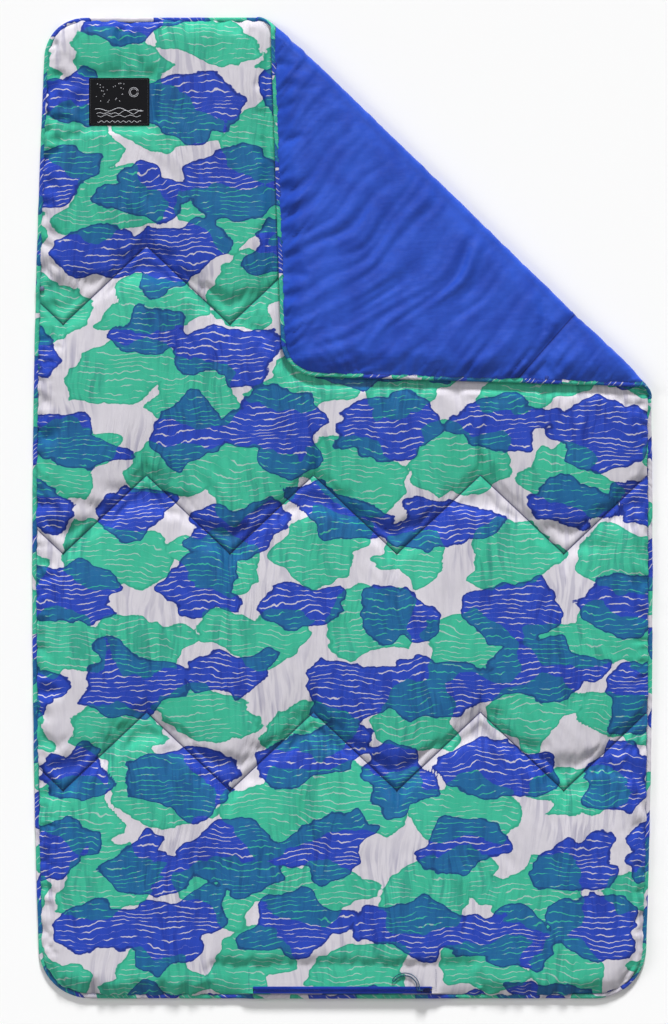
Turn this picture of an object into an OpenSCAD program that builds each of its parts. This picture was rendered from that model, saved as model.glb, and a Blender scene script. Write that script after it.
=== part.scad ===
// Quilted camp blanket, laid flat with the printed face up and its head-right
// corner turned down over the face. A zipped stash pocket closes at the foot.
// +Y runs from foot to head, +Z is up, the origin is under the centre on the floor.

/* [Sheet] */
// Width of the blanket across the middle
blanket_w = 1136; // [1116:2:1156]
// Length of the blanket from foot to head
blanket_l = 1796; // [1780:2:1812]
// Loft, the thickness of the quilted sheet
loft = 14; // [13:0.5:15]
// How far each long side draws in towards the head
side_bow = 20; // [0:1:24]
// Radius of the head-left corner
head_r = 75; // [60:1:90]
// Radius of the two foot corners
foot_r = 95; // [80:1:110]
// Thickness of the face and lining fabric shells
shell_t = 1; // [0.8:0.1:1.2]

/* [Piping] */
// Width of the bias piping around the edge
piping_w = 9; // [8.5:0.1:9.4]
// Thickness of the piping, lining side to face side
piping_t = 6; // [5.8:0.1:6.4]
// Thickness of the piping fabric
piping_skin = 1; // [0.8:0.1:1.1]

/* [Turned-down corner] */
// Angle of the fold line below the X axis
fold_angle = 44; // [43:0.5:45]
// Distance of the fold's outer edge from the origin
fold_d = 552; // [546:1:556]
// Bend radius of the sheet at the fold
roll_r = 8.5; // [8.5:0.25:9]
// How far the fold axis stands out from where the bend starts
fold_out = 7; // [6.5:0.25:7.5]
// X of the turned-down corner
flap_x = -110.5; // [-116:0.5:-106]
// Y of the turned-down corner
flap_y = 241.2; // [236:0.2:246]
// Direction of the flap's left edge
flap_left_angle = 91.9; // [91:0.1:93]
// Direction of the flap's lower edge
flap_low_angle = -1.74; // [-2.4:0.02:-1]
// Radius of the flap's own corner
flap_r = 64; // [50:1:75]

/* [Head fold] */
// Y of the crosswise fold between the head part and the foot part
head_fold_y = 111; // [106:1:116]
// Gap between the rigid parts at a fold
fold_gap = 1; // [0.8:0.1:1.2]

/* [Quilting] */
// Width of one zigzag, valley to valley
zig_wave = 305.3; // [300:0.1:310]
// Height of the zigzag, valley to peak
zig_amp = 144; // [130:1:150]
// X of the first valley
zig_x0 = -511; // [-516:1:-506]
// Middle height of the head row
row_1_y = 407.5; // [404:0.5:411]
// Middle height of the centre row
row_2_y = -12; // [-20:0.5:-6]
// Middle height of the foot row
row_3_y = -445.5; // [-455:0.5:-435]
// Width of a quilting seam
seam_w = 1.2; // [0.8:0.1:1.6]

/* [Label] */
// Width of the woven label
label_w = 110.5; // [90:0.5:120]
// Height of the woven label
label_h = 87.4; // [70:0.2:95]
// X of the label's centre
label_x = -407.9; // [-420:0.1:-395]
// Y of the label's centre
label_y = 742.3; // [730:0.1:755]

/* [Zip] */
// Half length of the zip's tape
zip_half = 163.5; // [160:0.5:166]
// Distance of the zip's centre from the foot edge
zip_inset = 17; // [16.8:0.1:17.4]
// Width of each zip tape
tape_w = 5.5; // [4.5:0.1:5.9]
// Pitch of the zip's teeth
tooth_pitch = 2.8; // [2.4:0.1:3.4]
// Depth of the stash pocket behind the zip
pocket_d = 230; // [180:5:260]

/* [Snaps] */
// Y of the snap on the left edge
snap_y = 401; // [396:1:406]
// Distance of both snaps from the blanket's edge
snap_inset = 12; // [11.8:0.1:12.4]
// Diameter of the snap's cap
snap_cap_d = 9; // [8.5:0.1:9.2]
// Diameter of the snap's socket hole and of its stud
snap_bore_d = 4; // [3.8:0.1:4.2]
// Distance of the stud from the fold along the flap's lower edge
stud_run = 180; // [170:1:190]

/* [Hidden] */

$fn = 48;
half_w = blanket_w / 2;
half_l = blanket_l / 2;
z_main = loft / 2;                 // mid-plane of the flat sheet
z_flap = z_main + 2 * roll_r;      // mid-plane of the turned-down flap
sheet_mid = [0, 0, z_main];
flap_mid = [0, 0, z_flap];
fold_dir = [sin(fold_angle), cos(fold_angle)];  // fold normal, pointing off the blanket
hinge_d = fold_d - roll_r - loft / 2 + fold_out;
cut_d = hinge_d - fold_gap;

rest_gap = 0.05;                   // clearance under a piece that lies on another
thread_z = [loft + rest_gap, loft + 0.6];

// Insets from the blanket's edge
flange_inset = 3.6;                // where the seam allowance starts inside the piping
skirt_inset = piping_w + 1;        // where the puffed shell rises beside the piping
pad_inset = skirt_inset + 2.5;     // where the insulation starts
skirt_wall = 1;                    // thickness of the puffed shell's side wall
cut_past = 5;                      // how far a hollow is cut past the folds

// Colours used by more than one piece
face_color = [0.25, 0.55, 0.62];
lining_color = [0.19, 0.33, 0.74];
insulation_color = [0.95, 0.95, 0.93];
piping_color = [0.2, 0.5, 0.5];
filler_color = [0.9, 0.9, 0.88];
binding_color = [0.1, 0.2, 0.5];
seam_color = [0.1, 0.15, 0.4];
tape_color = [0.1, 0.22, 0.58];
coil_color = [0.06, 0.14, 0.4];
slider_color = [0.05, 0.09, 0.28];
snap_color = [0.45, 0.46, 0.5];

// ---- Basic shapes; each range is a [low, high] pair ----

// Range that reaches half to each side of the centre
function about(centre, half) = [centre - half, centre + half];

module prism(points, zs) {
    translate([0, 0, zs[0]]) linear_extrude(zs[1] - zs[0]) polygon(points);
}

module disc(spot, radius, zs) {
    translate([spot[0], spot[1], zs[0]]) cylinder(h = zs[1] - zs[0], r = radius);
}

module block(xs, ys, zs) {
    translate([xs[0], ys[0], zs[0]]) cube([xs[1] - xs[0], ys[1] - ys[0], zs[1] - zs[0]]);
}

// ---- Outlines ----

bow_y = -120;       // where the blanket is widest
flank_gap = 60;     // from a corner to the nearest point of a long side
flap_reach = 900;   // runs the flap's edges well past the fold

function direction(angle) = [cos(angle), sin(angle)];

// Points of an arc in equal steps
function arc(centre, radius, start, end, steps = 12) =
    [for (i = [0:steps]) centre + radius * direction(start + (end - start) * i / steps)];

// Half width of the sheet at height y
function side(y) = half_w - side_bow * pow((y - bow_y) / half_l, 2);

// Points along one long side, hand = 1 for the right and -1 for the left
function flank(inset, hand, y0, y1, steps = 12) =
    [for (i = [0:steps]) let (y = y0 + (y1 - y0) * i / steps) [hand * (side(y) - inset), y]];

// Outline of the whole flat sheet; its head-right corner is left square
function sheet(inset) =
    let (foot_y = -half_l + foot_r,
         head_y = half_l - head_r,
         foot_x = side(foot_y) - foot_r,
         head_x = side(head_y) - head_r)
    concat(arc([-foot_x, foot_y], foot_r - inset, 180, 270),
           arc([foot_x, foot_y], foot_r - inset, 270, 360),
           flank(inset, 1, foot_y + flank_gap, half_l - flank_gap),
           [[head_x + head_r - inset, half_l - inset]],
           arc([-head_x, head_y], head_r - inset, 90, 180),
           flank(inset, -1, head_y - flank_gap, foot_y + flank_gap));

// The part of an outline whose distance along dir stays under the limit
function clip(points, dir, limit) =
    [for (i = [0:len(points) - 1])
        let (here = points[i],
             next = points[(i + 1) % len(points)],
             here_d = dir * here - limit,
             next_d = dir * next - limit)
        each concat(here_d <= 0 ? [here] : [],
                    here_d * next_d < 0 ? [here + (next - here) * here_d / (here_d - next_d)] : [])];

// Directions along and out of the flap's left and lower edges
flap_left_dir = direction(flap_left_angle);
flap_low_dir = direction(flap_low_angle);
flap_left_out = direction(flap_left_angle + 90);
flap_low_out = direction(flap_low_angle - 90);
flap_centre = [flap_x, flap_y]
    - flap_r * (flap_left_out + flap_low_out) / (1 + flap_left_out * flap_low_out);

// Outline of the turned-down corner, before it is cut at the fold
function flap(inset) =
    let (radius = flap_r - inset,
         along_left = flap_reach * flap_left_dir,
         along_low = flap_reach * flap_low_dir)
    concat(arc(flap_centre, radius, flap_left_angle + 90, flap_low_angle + 270, 10),
           [flap_centre + radius * flap_low_out + along_low,
            flap_centre + along_left + along_low,
            flap_centre + radius * flap_left_out + along_left]);

// Outline of the "foot", "head" or "corner" part, moved in by inset and run past its folds
function outline(part, inset, past = 0) =
    part == "foot" ? clip(sheet(inset), [0, 1], head_fold_y - fold_gap / 2 + past)
    : part == "head" ? clip(clip(sheet(inset), [0, -1], -head_fold_y - fold_gap / 2 + past),
                            fold_dir, cut_d + past)
    : clip(flap(inset), fold_dir, cut_d + past);

// ---- Snap places and the pinch around them ----

pinch_r = 8;            // inside of the pinch's wall
pinch_cut_r = 9;        // puffed fabric removed
pinch_wall_r = 9.3;     // outside of the pinch's wall
pinch_hole_r = 2.6;     // hole for the snap
pinch_pad_r = 10.8;     // hole in the insulation
snap_rise = piping_t / 2 + 0.1;    // from the mid-plane to the snap's outer parts

left_snap = [-side(snap_y) + snap_inset, snap_y];
flap_end_run = (cut_d - fold_dir * [flap_x, flap_y]) / (fold_dir * flap_low_dir);
stud_spot = [flap_x, flap_y] + (flap_end_run - stud_run) * flap_low_dir
    - snap_inset * flap_low_out;

// ---- Layers of a part, about the mid-plane at z = 0 ----

// One fabric shell above the mid-plane: seam allowance, side wall and puffed panel
module shell(part) {
    difference() {
        union() {
            prism(outline(part, flange_inset), [rest_gap, rest_gap + shell_t]);
            prism(outline(part, skirt_inset), [rest_gap, loft / 2]);
        }
        prism(outline(part, skirt_inset + skirt_wall, cut_past), [-1, loft / 2 - shell_t]);
    }
}

// The same shell, pinched flat around a snap
module pinched_shell(part, spot) {
    difference() {
        union() {
            difference() {
                shell(part);
                disc(spot, pinch_cut_r, [rest_gap + shell_t, loft]);
            }
            intersection() {
                prism(outline(part, skirt_inset), about(0, loft));
                union() {
                    disc(spot, pinch_wall_r, [rest_gap, rest_gap + shell_t]);
                    difference() {
                        disc(spot, pinch_wall_r, [rest_gap, loft / 2 - 0.1]);
                        disc(spot, pinch_r, [-1, loft]);
                    }
                }
            }
        }
        disc(spot, pinch_hole_r, [-1, loft]);
    }
}

module insulation(part) {
    prism(outline(part, pad_inset, -0.5), about(0, loft / 2 - shell_t - 0.6));
}

module pinched_insulation(part, spot) {
    difference() {
        insulation(part);
        disc(spot, pinch_pad_r, about(0, loft));
    }
}

// Bias piping: a folded channel that grips both seam allowances
module piping(part) {
    difference() {
        prism(outline(part, 0), about(0, piping_t / 2));
        prism(outline(part, piping_skin, cut_past), about(0, piping_t / 2 - piping_skin));
        prism(outline(part, piping_w, cut_past), about(0, piping_t));
    }
}

// Strip along the part's edge, between two insets
module edge_strip(part, outer_inset, inner_inset, zs) {
    difference() {
        prism(outline(part, outer_inset), zs);
        prism(outline(part, inner_inset, cut_past), [zs[0] - 1, zs[1] + 1]);
    }
}

// Filler cord that lies in the fold of the piping
module piping_cord(part) {
    edge_strip(part, 1.2, 3.4, about(0, 1.1));
}

// Seam that closes the piping, on its upper side
module binding_thread(part) {
    edge_strip(part, 5, 5.6, [piping_t / 2 + rest_gap, piping_t / 2 + 0.5]);
}

// ---- Quilting ----

zig_end = 12;       // from the blanket's side to the end of a row

// Offset of a zigzag row from its middle height, at x
function zig(x) =
    let (turns = (x - zig_x0) / zig_wave,
         phase = turns - floor(turns))
    zig_amp * (phase < 0.5 ? 2 * phase : 2 - 2 * phase) - zig_amp / 2;

// The x positions where a zigzag row turns, with its two ends
zig_xs = concat([-half_w + zig_end],
                [for (i = [0:7])
                    let (x = zig_x0 + i * zig_wave / 2)
                    if (x < half_w - zig_end - 2) x],
                [half_w - zig_end]);

// A zigzag ribbon about height y
function ribbon(y) =
    let (half = seam_w / 2 / cos(atan(2 * zig_amp / zig_wave)))
    concat([for (x = zig_xs) [x, y + zig(x) - half]],
           [for (i = [len(zig_xs) - 1:-1:0]) [zig_xs[i], y + zig(zig_xs[i]) + half]]);

// A point turned over with the flap, and a whole outline turned over
function turn_over(point) = point - 2 * (fold_dir * point - hinge_d) * fold_dir;
function turn_outline(points) = [for (i = [len(points) - 1:-1:0]) turn_over(points[i])];

// ---- Foot part ----

zip_y = -half_l + zip_inset;
zip_open = 5;                      // half width of the opening in the face
pocket_half = 171;
pocket_y = -half_l + 13;           // the bag's foot end
pocket_top = loft - shell_t - 0.2;
pocket_t = 1.8;
pocket_room = 2;                   // room around the bag in the insulation
pocket_cut_z = pocket_top - pocket_t - 0.2;

module face_foot() {
    color(face_color) difference() {
        translate(sheet_mid) shell("foot");
        block(about(0, zip_half - 0.5), about(zip_y, zip_open), [z_main + 2, loft + 1]);
    }
}

module lining_foot() {
    color(lining_color) translate(sheet_mid) mirror([0, 0, 1]) shell("foot");
}

// Insulation, with room for the pocket bag and the zip
module insulation_foot() {
    color(insulation_color) difference() {
        translate(sheet_mid) insulation("foot");
        block(about(0, pocket_half + pocket_room), [-half_l, pocket_y + pocket_d + pocket_room],
              [pocket_cut_z, loft]);
        block(about(0, zip_half), [-half_l, zip_y + zip_open + 1], [pocket_cut_z - 0.2, loft]);
    }
}

module piping_foot() {
    color(piping_color) translate(sheet_mid) piping("foot");
}

module piping_cord_foot() {
    color(filler_color) translate(sheet_mid) piping_cord("foot");
}

module binding_thread_foot() {
    color(binding_color) translate(sheet_mid) binding_thread("foot");
}

module quilt_thread_row_2() {
    color(seam_color) prism(ribbon(row_2_y), thread_z);
}

module quilt_thread_row_3() {
    color(seam_color) prism(ribbon(row_3_y), thread_z);
}

// ---- Stash pocket ----

// Flat stash bag behind the zip, open towards it
module pocket_bag() {
    side_wall = 1;
    skin = 0.5;
    color([0.17, 0.3, 0.68]) difference() {
        block(about(0, pocket_half), [pocket_y, pocket_y + pocket_d],
              [pocket_top - pocket_t, pocket_top]);
        block(about(0, pocket_half - side_wall),
              [pocket_y + side_wall, pocket_y + pocket_d - side_wall],
              [pocket_top - pocket_t + skin, pocket_top - skin]);
        block(about(0, zip_half - 1), [pocket_y + side_wall, zip_y + zip_open],
              about(pocket_top, 1));
    }
}

// Two short rows of stitches that hold the bag's sides to the face
module pocket_stitching() {
    row_l = 45;
    color(seam_color) for (hand = [-1, 1])
        block(about(hand * pocket_half, 0.5), [pocket_y, pocket_y + row_l], thread_z);
}

// ---- Zip; hand = 1 is the half towards the head, -1 the half towards the foot ----

tape_gap = 1;           // from the zip's centre line to each tape
tooth_w = 1.4;
tooth_tip = 0.6;        // distances from the zip's centre line
tooth_root = 1.4;
coil_edge = 2.2;
coil_z = [loft + 0.7, loft + 1.5];
stop_z = [loft + 0.7, loft + 1.9];
stop_half = 2.4;
stop_xs = [zip_half - 2, zip_half - 0.2];
slider_x = 154;
pivot_z = 18.8;         // height of the pull tab's crossbar

// Y range between two distances from the zip's centre line
function zip_band(hand, near, far) =
    hand > 0 ? [zip_y + near, zip_y + far] : [zip_y - far, zip_y - near];

module zip_tape(hand) {
    block(about(0, zip_half), zip_band(hand, tape_gap, tape_gap + tape_w),
          [loft + rest_gap, loft + 0.65]);
}

module zip_tape_upper() {
    color(tape_color) zip_tape(1);
}

module zip_tape_lower() {
    color(tape_color) zip_tape(-1);
}

// One row of zip teeth along its tape, as a comb
module zip_coil(hand) {
    count = floor(2 * (zip_half - 3) / tooth_pitch);
    end_x = count * tooth_pitch / 2;
    start_x = -end_x - 0.01;       // just outside the first tooth
    stagger = hand > 0 ? 0 : tooth_pitch / 4;
    teeth = [for (i = [0:count - 1])
        let (x = -end_x + stagger + i * tooth_pitch)
        each [[x, tooth_root], [x, tooth_tip], [x + tooth_w, tooth_tip], [x + tooth_w, tooth_root]]];
    spine = [[end_x, tooth_root], [end_x, coil_edge], [start_x, coil_edge], [start_x, tooth_root]];
    translate([0, zip_y, 0])
        prism([for (point = concat(teeth, spine)) [point[0], hand * point[1]]], coil_z);
}

module zip_coil_upper() {
    color(coil_color) zip_coil(1);
}

module zip_coil_lower() {
    color(coil_color) zip_coil(-1);
}

// Crimped stops: one across both rows at the left end, one on each row at the right
module zip_stops() {
    color([0.07, 0.1, 0.25]) {
        block([-stop_xs[1], -stop_xs[0]], about(zip_y, stop_half), stop_z);
        for (hand = [-1, 1])
            block(stop_xs, zip_band(hand, tooth_tip, stop_half), stop_z);
    }
}

// Slider: two plates around the teeth, a post between them and a bail on top
module zip_slider() {
    // [x, y] about the slider's centre
    top_plate = [[-6, -3.4], [-3, -3.9], [3, -4.5], [5.2, -4.5], [6, -3.6],
                 [6, 3.6], [5.2, 4.5], [3, 4.5], [-3, 3.9], [-6, 3.4]];
    low_plate = [[-6, -3.4], [3, -4.4], [6, -3.6], [6, 3.6], [3, 4.4], [-6, 3.4]];
    top_z = [1.7, 2.9];
    low_z = [-1.1, -0.2];
    join = 0.1;        // overlap of the post, the flanges and the bail with the plates
    color(slider_color) translate([slider_x, zip_y, loft]) {
        prism(top_plate, top_z);
        prism(low_plate, low_z);
        // Post
        block([3, 5.2], about(0, 0.45), [low_z[1] - join, top_z[0] + join]);
        // Side flanges
        for (hand = [-1, 1])
            block([-3, 5], about(hand * 4, 0.4), [0.85, top_z[0] + join]);
        // Bail
        difference() {
            block(about(0, 3.5), about(0, 1), [top_z[1] - join, 7]);
            block(about(0, 2.3), about(0, 2), [top_z[1], 5.9]);
        }
    }
}

// Pull tab: a crossbar under the bail, a window around the bail and a slot for the cord
module pull_tab() {
    bar_l = 6;
    color(slider_color) translate([slider_x, zip_y, pivot_z]) {
        translate([0, bar_l / 2, 0]) rotate([90, 0, 0]) cylinder(h = bar_l, r = 0.7);
        difference() {
            block([-10.9, 0], about(0, 3.5), about(0, 0.6));
            // Window
            block([-5.2, 1], about(0, 1.4), about(0, 2));
            // Cord slot
            block([-9.4, -6.4], about(0, 2), about(0, 2));
        }
    }
}

// ---- Pull cord ----

cord_r = 0.95;
cord_sides = 8;
cord_steps = 3;         // samples between two guide points
bend_centre = [slider_x - 40, zip_y + 5, loft + 3];
bend_r = 24.3;          // middle line between the two strands
strand_half = 2.3;      // from that line to each strand
bend_angles = [for (i = [1:11]) -9 + i * 14];
loop_angle = 146;       // where the cord turns back
loop_r = 2.4;

// Guide points [x, y, z] around the tab's end bar, from the tab's crossbar
bar_pts = [[-17.6, 2.2, -1.85], [-15.1, -0.6, -1.9], [-11.2, -0.8, -2.05],
           [-8.6, -0.25, -1.3], [-8.1, 0, 0], [-8.5, 0.25, 1.3],
           [-10.2, 0.7, 2], [-12.2, 0.9, 1.3], [-13.9, 2.2, -0.6]];

function spoke(radius, angle) = [radius * cos(angle), radius * sin(angle), 0];
function unit(v) = v / norm(v);
// The part of v square to a unit axis
function square_to(v, axis) = v - (v * axis) * axis;

// Point at t on the smooth curve from start to end, with the points before and after
function smooth(before, start, end, after, t) =
    0.5 * (2 * start + (end - before) * t
           + (2 * before - 5 * start + 4 * end - after) * t * t
           + (3 * start - before - 3 * end + after) * t * t * t);

cord_pts = concat(
    [for (point = bar_pts) [slider_x, zip_y, pivot_z] + point],
    [for (angle = bend_angles) bend_centre + spoke(bend_r + strand_half, angle)],
    [for (turn = [60, 120])
        bend_centre + spoke(bend_r, loop_angle) + spoke(loop_r, loop_angle + turn)],
    [for (i = [len(bend_angles) - 1:-1:0])
        bend_centre + spoke(bend_r - strand_half, bend_angles[i])]);

// One closed loop, threaded under and over the tab's end bar, whose two strands
// curve away side by side
module pull_cord() {
    guides = len(cord_pts);
    path = [for (i = [0:guides - 1]) for (j = [0:cord_steps - 1])
        smooth(cord_pts[(i + guides - 1) % guides], cord_pts[i], cord_pts[(i + 1) % guides],
               cord_pts[(i + 2) % guides], j / cord_steps)];
    count = len(path);
    tangents = [for (i = [0:count - 1])
        unit(path[(i + 1) % count] - path[(i + count - 1) % count])];
    // A normal carried along the path, once around
    carried = [for (i = 0, v = unit(cross(tangents[0], [0, 0, 1]));
                    i <= count;
                    i = i + 1, v = unit(square_to(v, tangents[i % count]))) v];
    normals = [for (i = [0:count]) unit(square_to(carried[i], tangents[i % count]))];
    // The twist gained once around, which is spread over the loop so that its ends meet
    twist = atan2(cross(normals[0], normals[count]) * tangents[0], normals[0] * normals[count]);
    points = [for (i = [0:count - 1])
        let (binormal = cross(tangents[i], normals[i]))
        for (j = [0:cord_sides - 1])
            let (angle = 360 * j / cord_sides - twist * i / count)
            path[i] + cord_r * (cos(angle) * normals[i] + sin(angle) * binormal)];
    faces = [for (i = [0:count - 1]) for (j = [0:cord_sides - 1])
        let (ring = i * cord_sides,
             next_ring = ((i + 1) % count) * cord_sides,
             next_j = (j + 1) % cord_sides)
        each [[ring + next_j, ring + j, next_ring + j],
              [ring + next_j, next_ring + j, next_ring + next_j]]];
    color([0.04, 0.2, 0.32]) polyhedron(points, faces);
}

// ---- Head part ----

module face_head() {
    color(face_color) translate(sheet_mid) pinched_shell("head", left_snap);
}

module lining_head() {
    color(lining_color) translate(sheet_mid) mirror([0, 0, 1]) pinched_shell("head", left_snap);
}

module insulation_head() {
    color(insulation_color) translate(sheet_mid) pinched_insulation("head", left_snap);
}

module piping_head() {
    color(piping_color) translate(sheet_mid) piping("head");
}

module piping_cord_head() {
    color(filler_color) translate(sheet_mid) piping_cord("head");
}

module binding_thread_head() {
    color(binding_color) translate(sheet_mid) binding_thread("head");
}

module quilt_thread_row_1() {
    color(seam_color) prism(clip(ribbon(row_1_y), fold_dir, cut_d - 1), thread_z);
}

// ---- Label ----

label_z = loft + rest_gap;

// Block over the label's area, moved in by inset, with heights from its underside
module label_block(inset, zs) {
    block(about(label_x, label_w / 2 - inset), about(label_y, label_h / 2 - inset),
          [label_z + zs[0], label_z + zs[1]]);
}

module woven_label() {
    color([0.1, 0.1, 0.11]) label_block(0, [0, 0.8]);
}

module label_stitching() {
    stitch_inset = 2.5;
    stitch_w = 0.8;
    color([0.2, 0.2, 0.22]) difference() {
        label_block(stitch_inset, [0.85, 1.25]);
        label_block(stitch_inset + stitch_w, [0, 3]);
    }
}

// ---- Left snap ----

// Cap and post of the left snap, on the face side
module snap_cap() {
    cap_z = z_main + snap_rise;
    cap_r = snap_cap_d / 2;
    post_r = 1.5;
    post_z = 3.1;
    color(snap_color) translate([left_snap[0], left_snap[1], 0]) rotate_extrude()
        polygon([[0, post_z], [post_r, post_z], [post_r, cap_z], [cap_r, cap_z],
                 [cap_r, cap_z + 0.8], [cap_r - 1, cap_z + 1.5], [0, cap_z + 1.9]]);
}

// Socket of the left snap, on the lining side, open downwards
module snap_socket() {
    color(snap_color) difference() {
        disc(left_snap, snap_cap_d / 2, [0.4, 3.9]);
        disc(left_snap, snap_bore_d / 2, [-1, 2.9]);
        // Hole for the cap's post
        disc(left_snap, 1.8, [2.5, 5]);
    }
}

// ---- Turned-down corner, with its face down and its lining up ----

module face_corner() {
    color(face_color) translate(flap_mid) mirror([0, 0, 1]) pinched_shell("corner", stud_spot);
}

module lining_corner() {
    color(lining_color) translate(flap_mid) pinched_shell("corner", stud_spot);
}

module insulation_corner() {
    color(insulation_color) translate(flap_mid) pinched_insulation("corner", stud_spot);
}

module piping_corner() {
    color(piping_color) translate(flap_mid) piping("corner");
}

module piping_cord_corner() {
    color(filler_color) translate(flap_mid) piping_cord("corner");
}

module binding_thread_corner() {
    color(binding_color) translate(flap_mid) binding_thread("corner");
}

// The end of the head row, which crosses the flap's lining
module quilt_thread_row_1_corner() {
    low_limit = flap_centre * flap_low_out + flap_r - skirt_inset - 1.5;
    tail_d = 100;      // drops what lies nearer the origin than this, along the fold's normal
    turned = clip(turn_outline(ribbon(row_1_y)), fold_dir, cut_d - 1);
    color(seam_color) translate([0, 0, z_flap - z_main])
        prism(clip(clip(turned, flap_low_out, low_limit), -fold_dir, -tail_d), thread_z);
}

// ---- Right snap ----

stud_z = z_flap - snap_rise;       // top of the stud's plate

// Stud of the right snap, on the face side, which hangs under the flap
module snap_stud() {
    color(snap_color) {
        difference() {
            disc(stud_spot, snap_cap_d / 2, [stud_z - 1.6, stud_z]);
            disc(stud_spot, 1.2, about(stud_z, 1));
        }
        disc(stud_spot, snap_bore_d / 2, [stud_z - 4, stud_z - 1.5]);
    }
}

// Rivet that holds the stud, sunk in the pinched lining
module snap_rivet() {
    head_z = z_flap + shell_t + 0.15;
    color([0.16, 0.27, 0.6]) {
        disc(stud_spot, 1.1, [stud_z - 0.9, head_z + 0.05]);
        disc(stud_spot, 3.6, [head_z, head_z + 0.6]);
    }
}

face_foot();
lining_foot();
insulation_foot();
piping_foot();
piping_cord_foot();
binding_thread_foot();
quilt_thread_row_2();
quilt_thread_row_3();
pocket_bag();
pocket_stitching();
zip_tape_upper();
zip_tape_lower();
zip_coil_upper();
zip_coil_lower();
zip_stops();
zip_slider();
pull_tab();
pull_cord();
face_head();
lining_head();
insulation_head();
piping_head();
piping_cord_head();
binding_thread_head();
quilt_thread_row_1();
woven_label();
label_stitching();
snap_cap();
snap_socket();
face_corner();
lining_corner();
insulation_corner();
piping_corner();
piping_cord_corner();
binding_thread_corner();
quilt_thread_row_1_corner();
snap_stud();
snap_rivet();
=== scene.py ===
# A quilted, printed blanket lying flat on the floor, face up, centred near the origin.
# Width runs along x and length along y, with the head at +y and the foot at -y. The corner
# at +x, +y is turned down over the face, so that its blue lining shows. A zipped pocket is at
# the foot, a woven label and a snap are on the face. Shapes are worked out in millimetres.
import math
from contextlib import contextmanager

import bmesh
import bpy
import numpy as np
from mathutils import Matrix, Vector


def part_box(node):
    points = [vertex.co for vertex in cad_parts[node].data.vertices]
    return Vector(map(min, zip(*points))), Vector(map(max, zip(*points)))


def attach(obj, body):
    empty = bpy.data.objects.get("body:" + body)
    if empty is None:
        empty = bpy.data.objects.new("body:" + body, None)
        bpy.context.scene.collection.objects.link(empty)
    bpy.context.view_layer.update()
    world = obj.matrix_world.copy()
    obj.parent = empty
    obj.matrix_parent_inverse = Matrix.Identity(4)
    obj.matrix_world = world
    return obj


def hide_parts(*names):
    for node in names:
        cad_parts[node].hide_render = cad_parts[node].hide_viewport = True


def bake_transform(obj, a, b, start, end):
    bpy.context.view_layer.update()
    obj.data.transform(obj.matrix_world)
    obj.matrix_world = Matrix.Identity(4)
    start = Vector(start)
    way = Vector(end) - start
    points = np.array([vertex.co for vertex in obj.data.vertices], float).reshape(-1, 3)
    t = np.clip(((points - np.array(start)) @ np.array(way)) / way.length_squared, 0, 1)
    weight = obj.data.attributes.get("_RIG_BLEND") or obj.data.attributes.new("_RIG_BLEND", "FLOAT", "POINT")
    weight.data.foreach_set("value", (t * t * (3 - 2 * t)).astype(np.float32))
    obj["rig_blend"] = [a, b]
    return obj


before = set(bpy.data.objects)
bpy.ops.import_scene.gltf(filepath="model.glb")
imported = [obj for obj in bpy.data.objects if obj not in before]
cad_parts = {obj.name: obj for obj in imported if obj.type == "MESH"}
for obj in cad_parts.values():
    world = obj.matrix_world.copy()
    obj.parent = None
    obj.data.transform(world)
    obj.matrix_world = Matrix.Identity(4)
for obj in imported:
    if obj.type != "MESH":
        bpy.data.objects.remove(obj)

scene = bpy.context.scene
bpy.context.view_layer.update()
PI = math.pi
MM = 0.001
UP = np.array([0.0, 0.0, 1.0])


def box_mm(node):
    """Lowest and highest corner of a CAD piece."""
    return [np.array(corner) * 1000 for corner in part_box(node)]


def direction(degrees):
    return np.array([math.cos(math.radians(degrees)), math.sin(math.radians(degrees))])


# ---------------------------------------------------------------- driving dimensions, in mm
HALF_WIDTH, HALF_LENGTH = 568.0, 898.0
SIDE_BOW, WIDEST_Y = 20.0, -120         # how far the sides draw in, and where they don't
HEAD_RADIUS, FOOT_RADIUS = 75.0, 95.0
INSET = 3.6                             # from the outline to the rim of the cloth
MAIN_MID, FLAP_MID = 7.0, 24.0          # height of the middle of the flat part and of the flap
PRESSED_Z = 13.9                        # top of the face where something lies on it
SEWN_Z = 14.05                          # underside of what is sewn on the face

# the fold: a straight line, a roll beyond it, and the turned-down flap on top
FOLD_ANGLE = math.radians(44.0)
FOLD_OUT = np.array([math.sin(FOLD_ANGLE), math.cos(FOLD_ANGLE)])       # square to the fold
FOLD_ALONG = np.array([math.cos(FOLD_ANGLE), -math.sin(FOLD_ANGLE)])
FOLD_START = 536.5                      # distance of the line where the roll starts
MIRROR_LINE = 543.5                     # distance of the line that mirrors the flap open
ROLL_LENGTH = PI * ((FLAP_MID - MAIN_MID) / 2)
ROLL_STEPS = 14
ROLL_DENT = -644.8                      # place along the fold where the roll is dented
FOLD_HEAD_END, FOLD_SIDE_END = (-157.6, HALF_LENGTH), (565.5, 199.8)    # on the flat outline
FLAP_HEAD_END, FLAP_SIDE_END = (-131.45, 872.8), (543.1, 221.3)         # on the flap's outline
FLAP_CORNER = np.array([-110.5, 241.2])
FLAP_UP, FLAP_RIGHT = direction(91.9), direction(-1.74)     # along the flap's free edges
FLAP_RADIUS = 64.0
FLAP_SEAM_Y = 180                       # opened flat, the flap's seam lies above this

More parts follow.
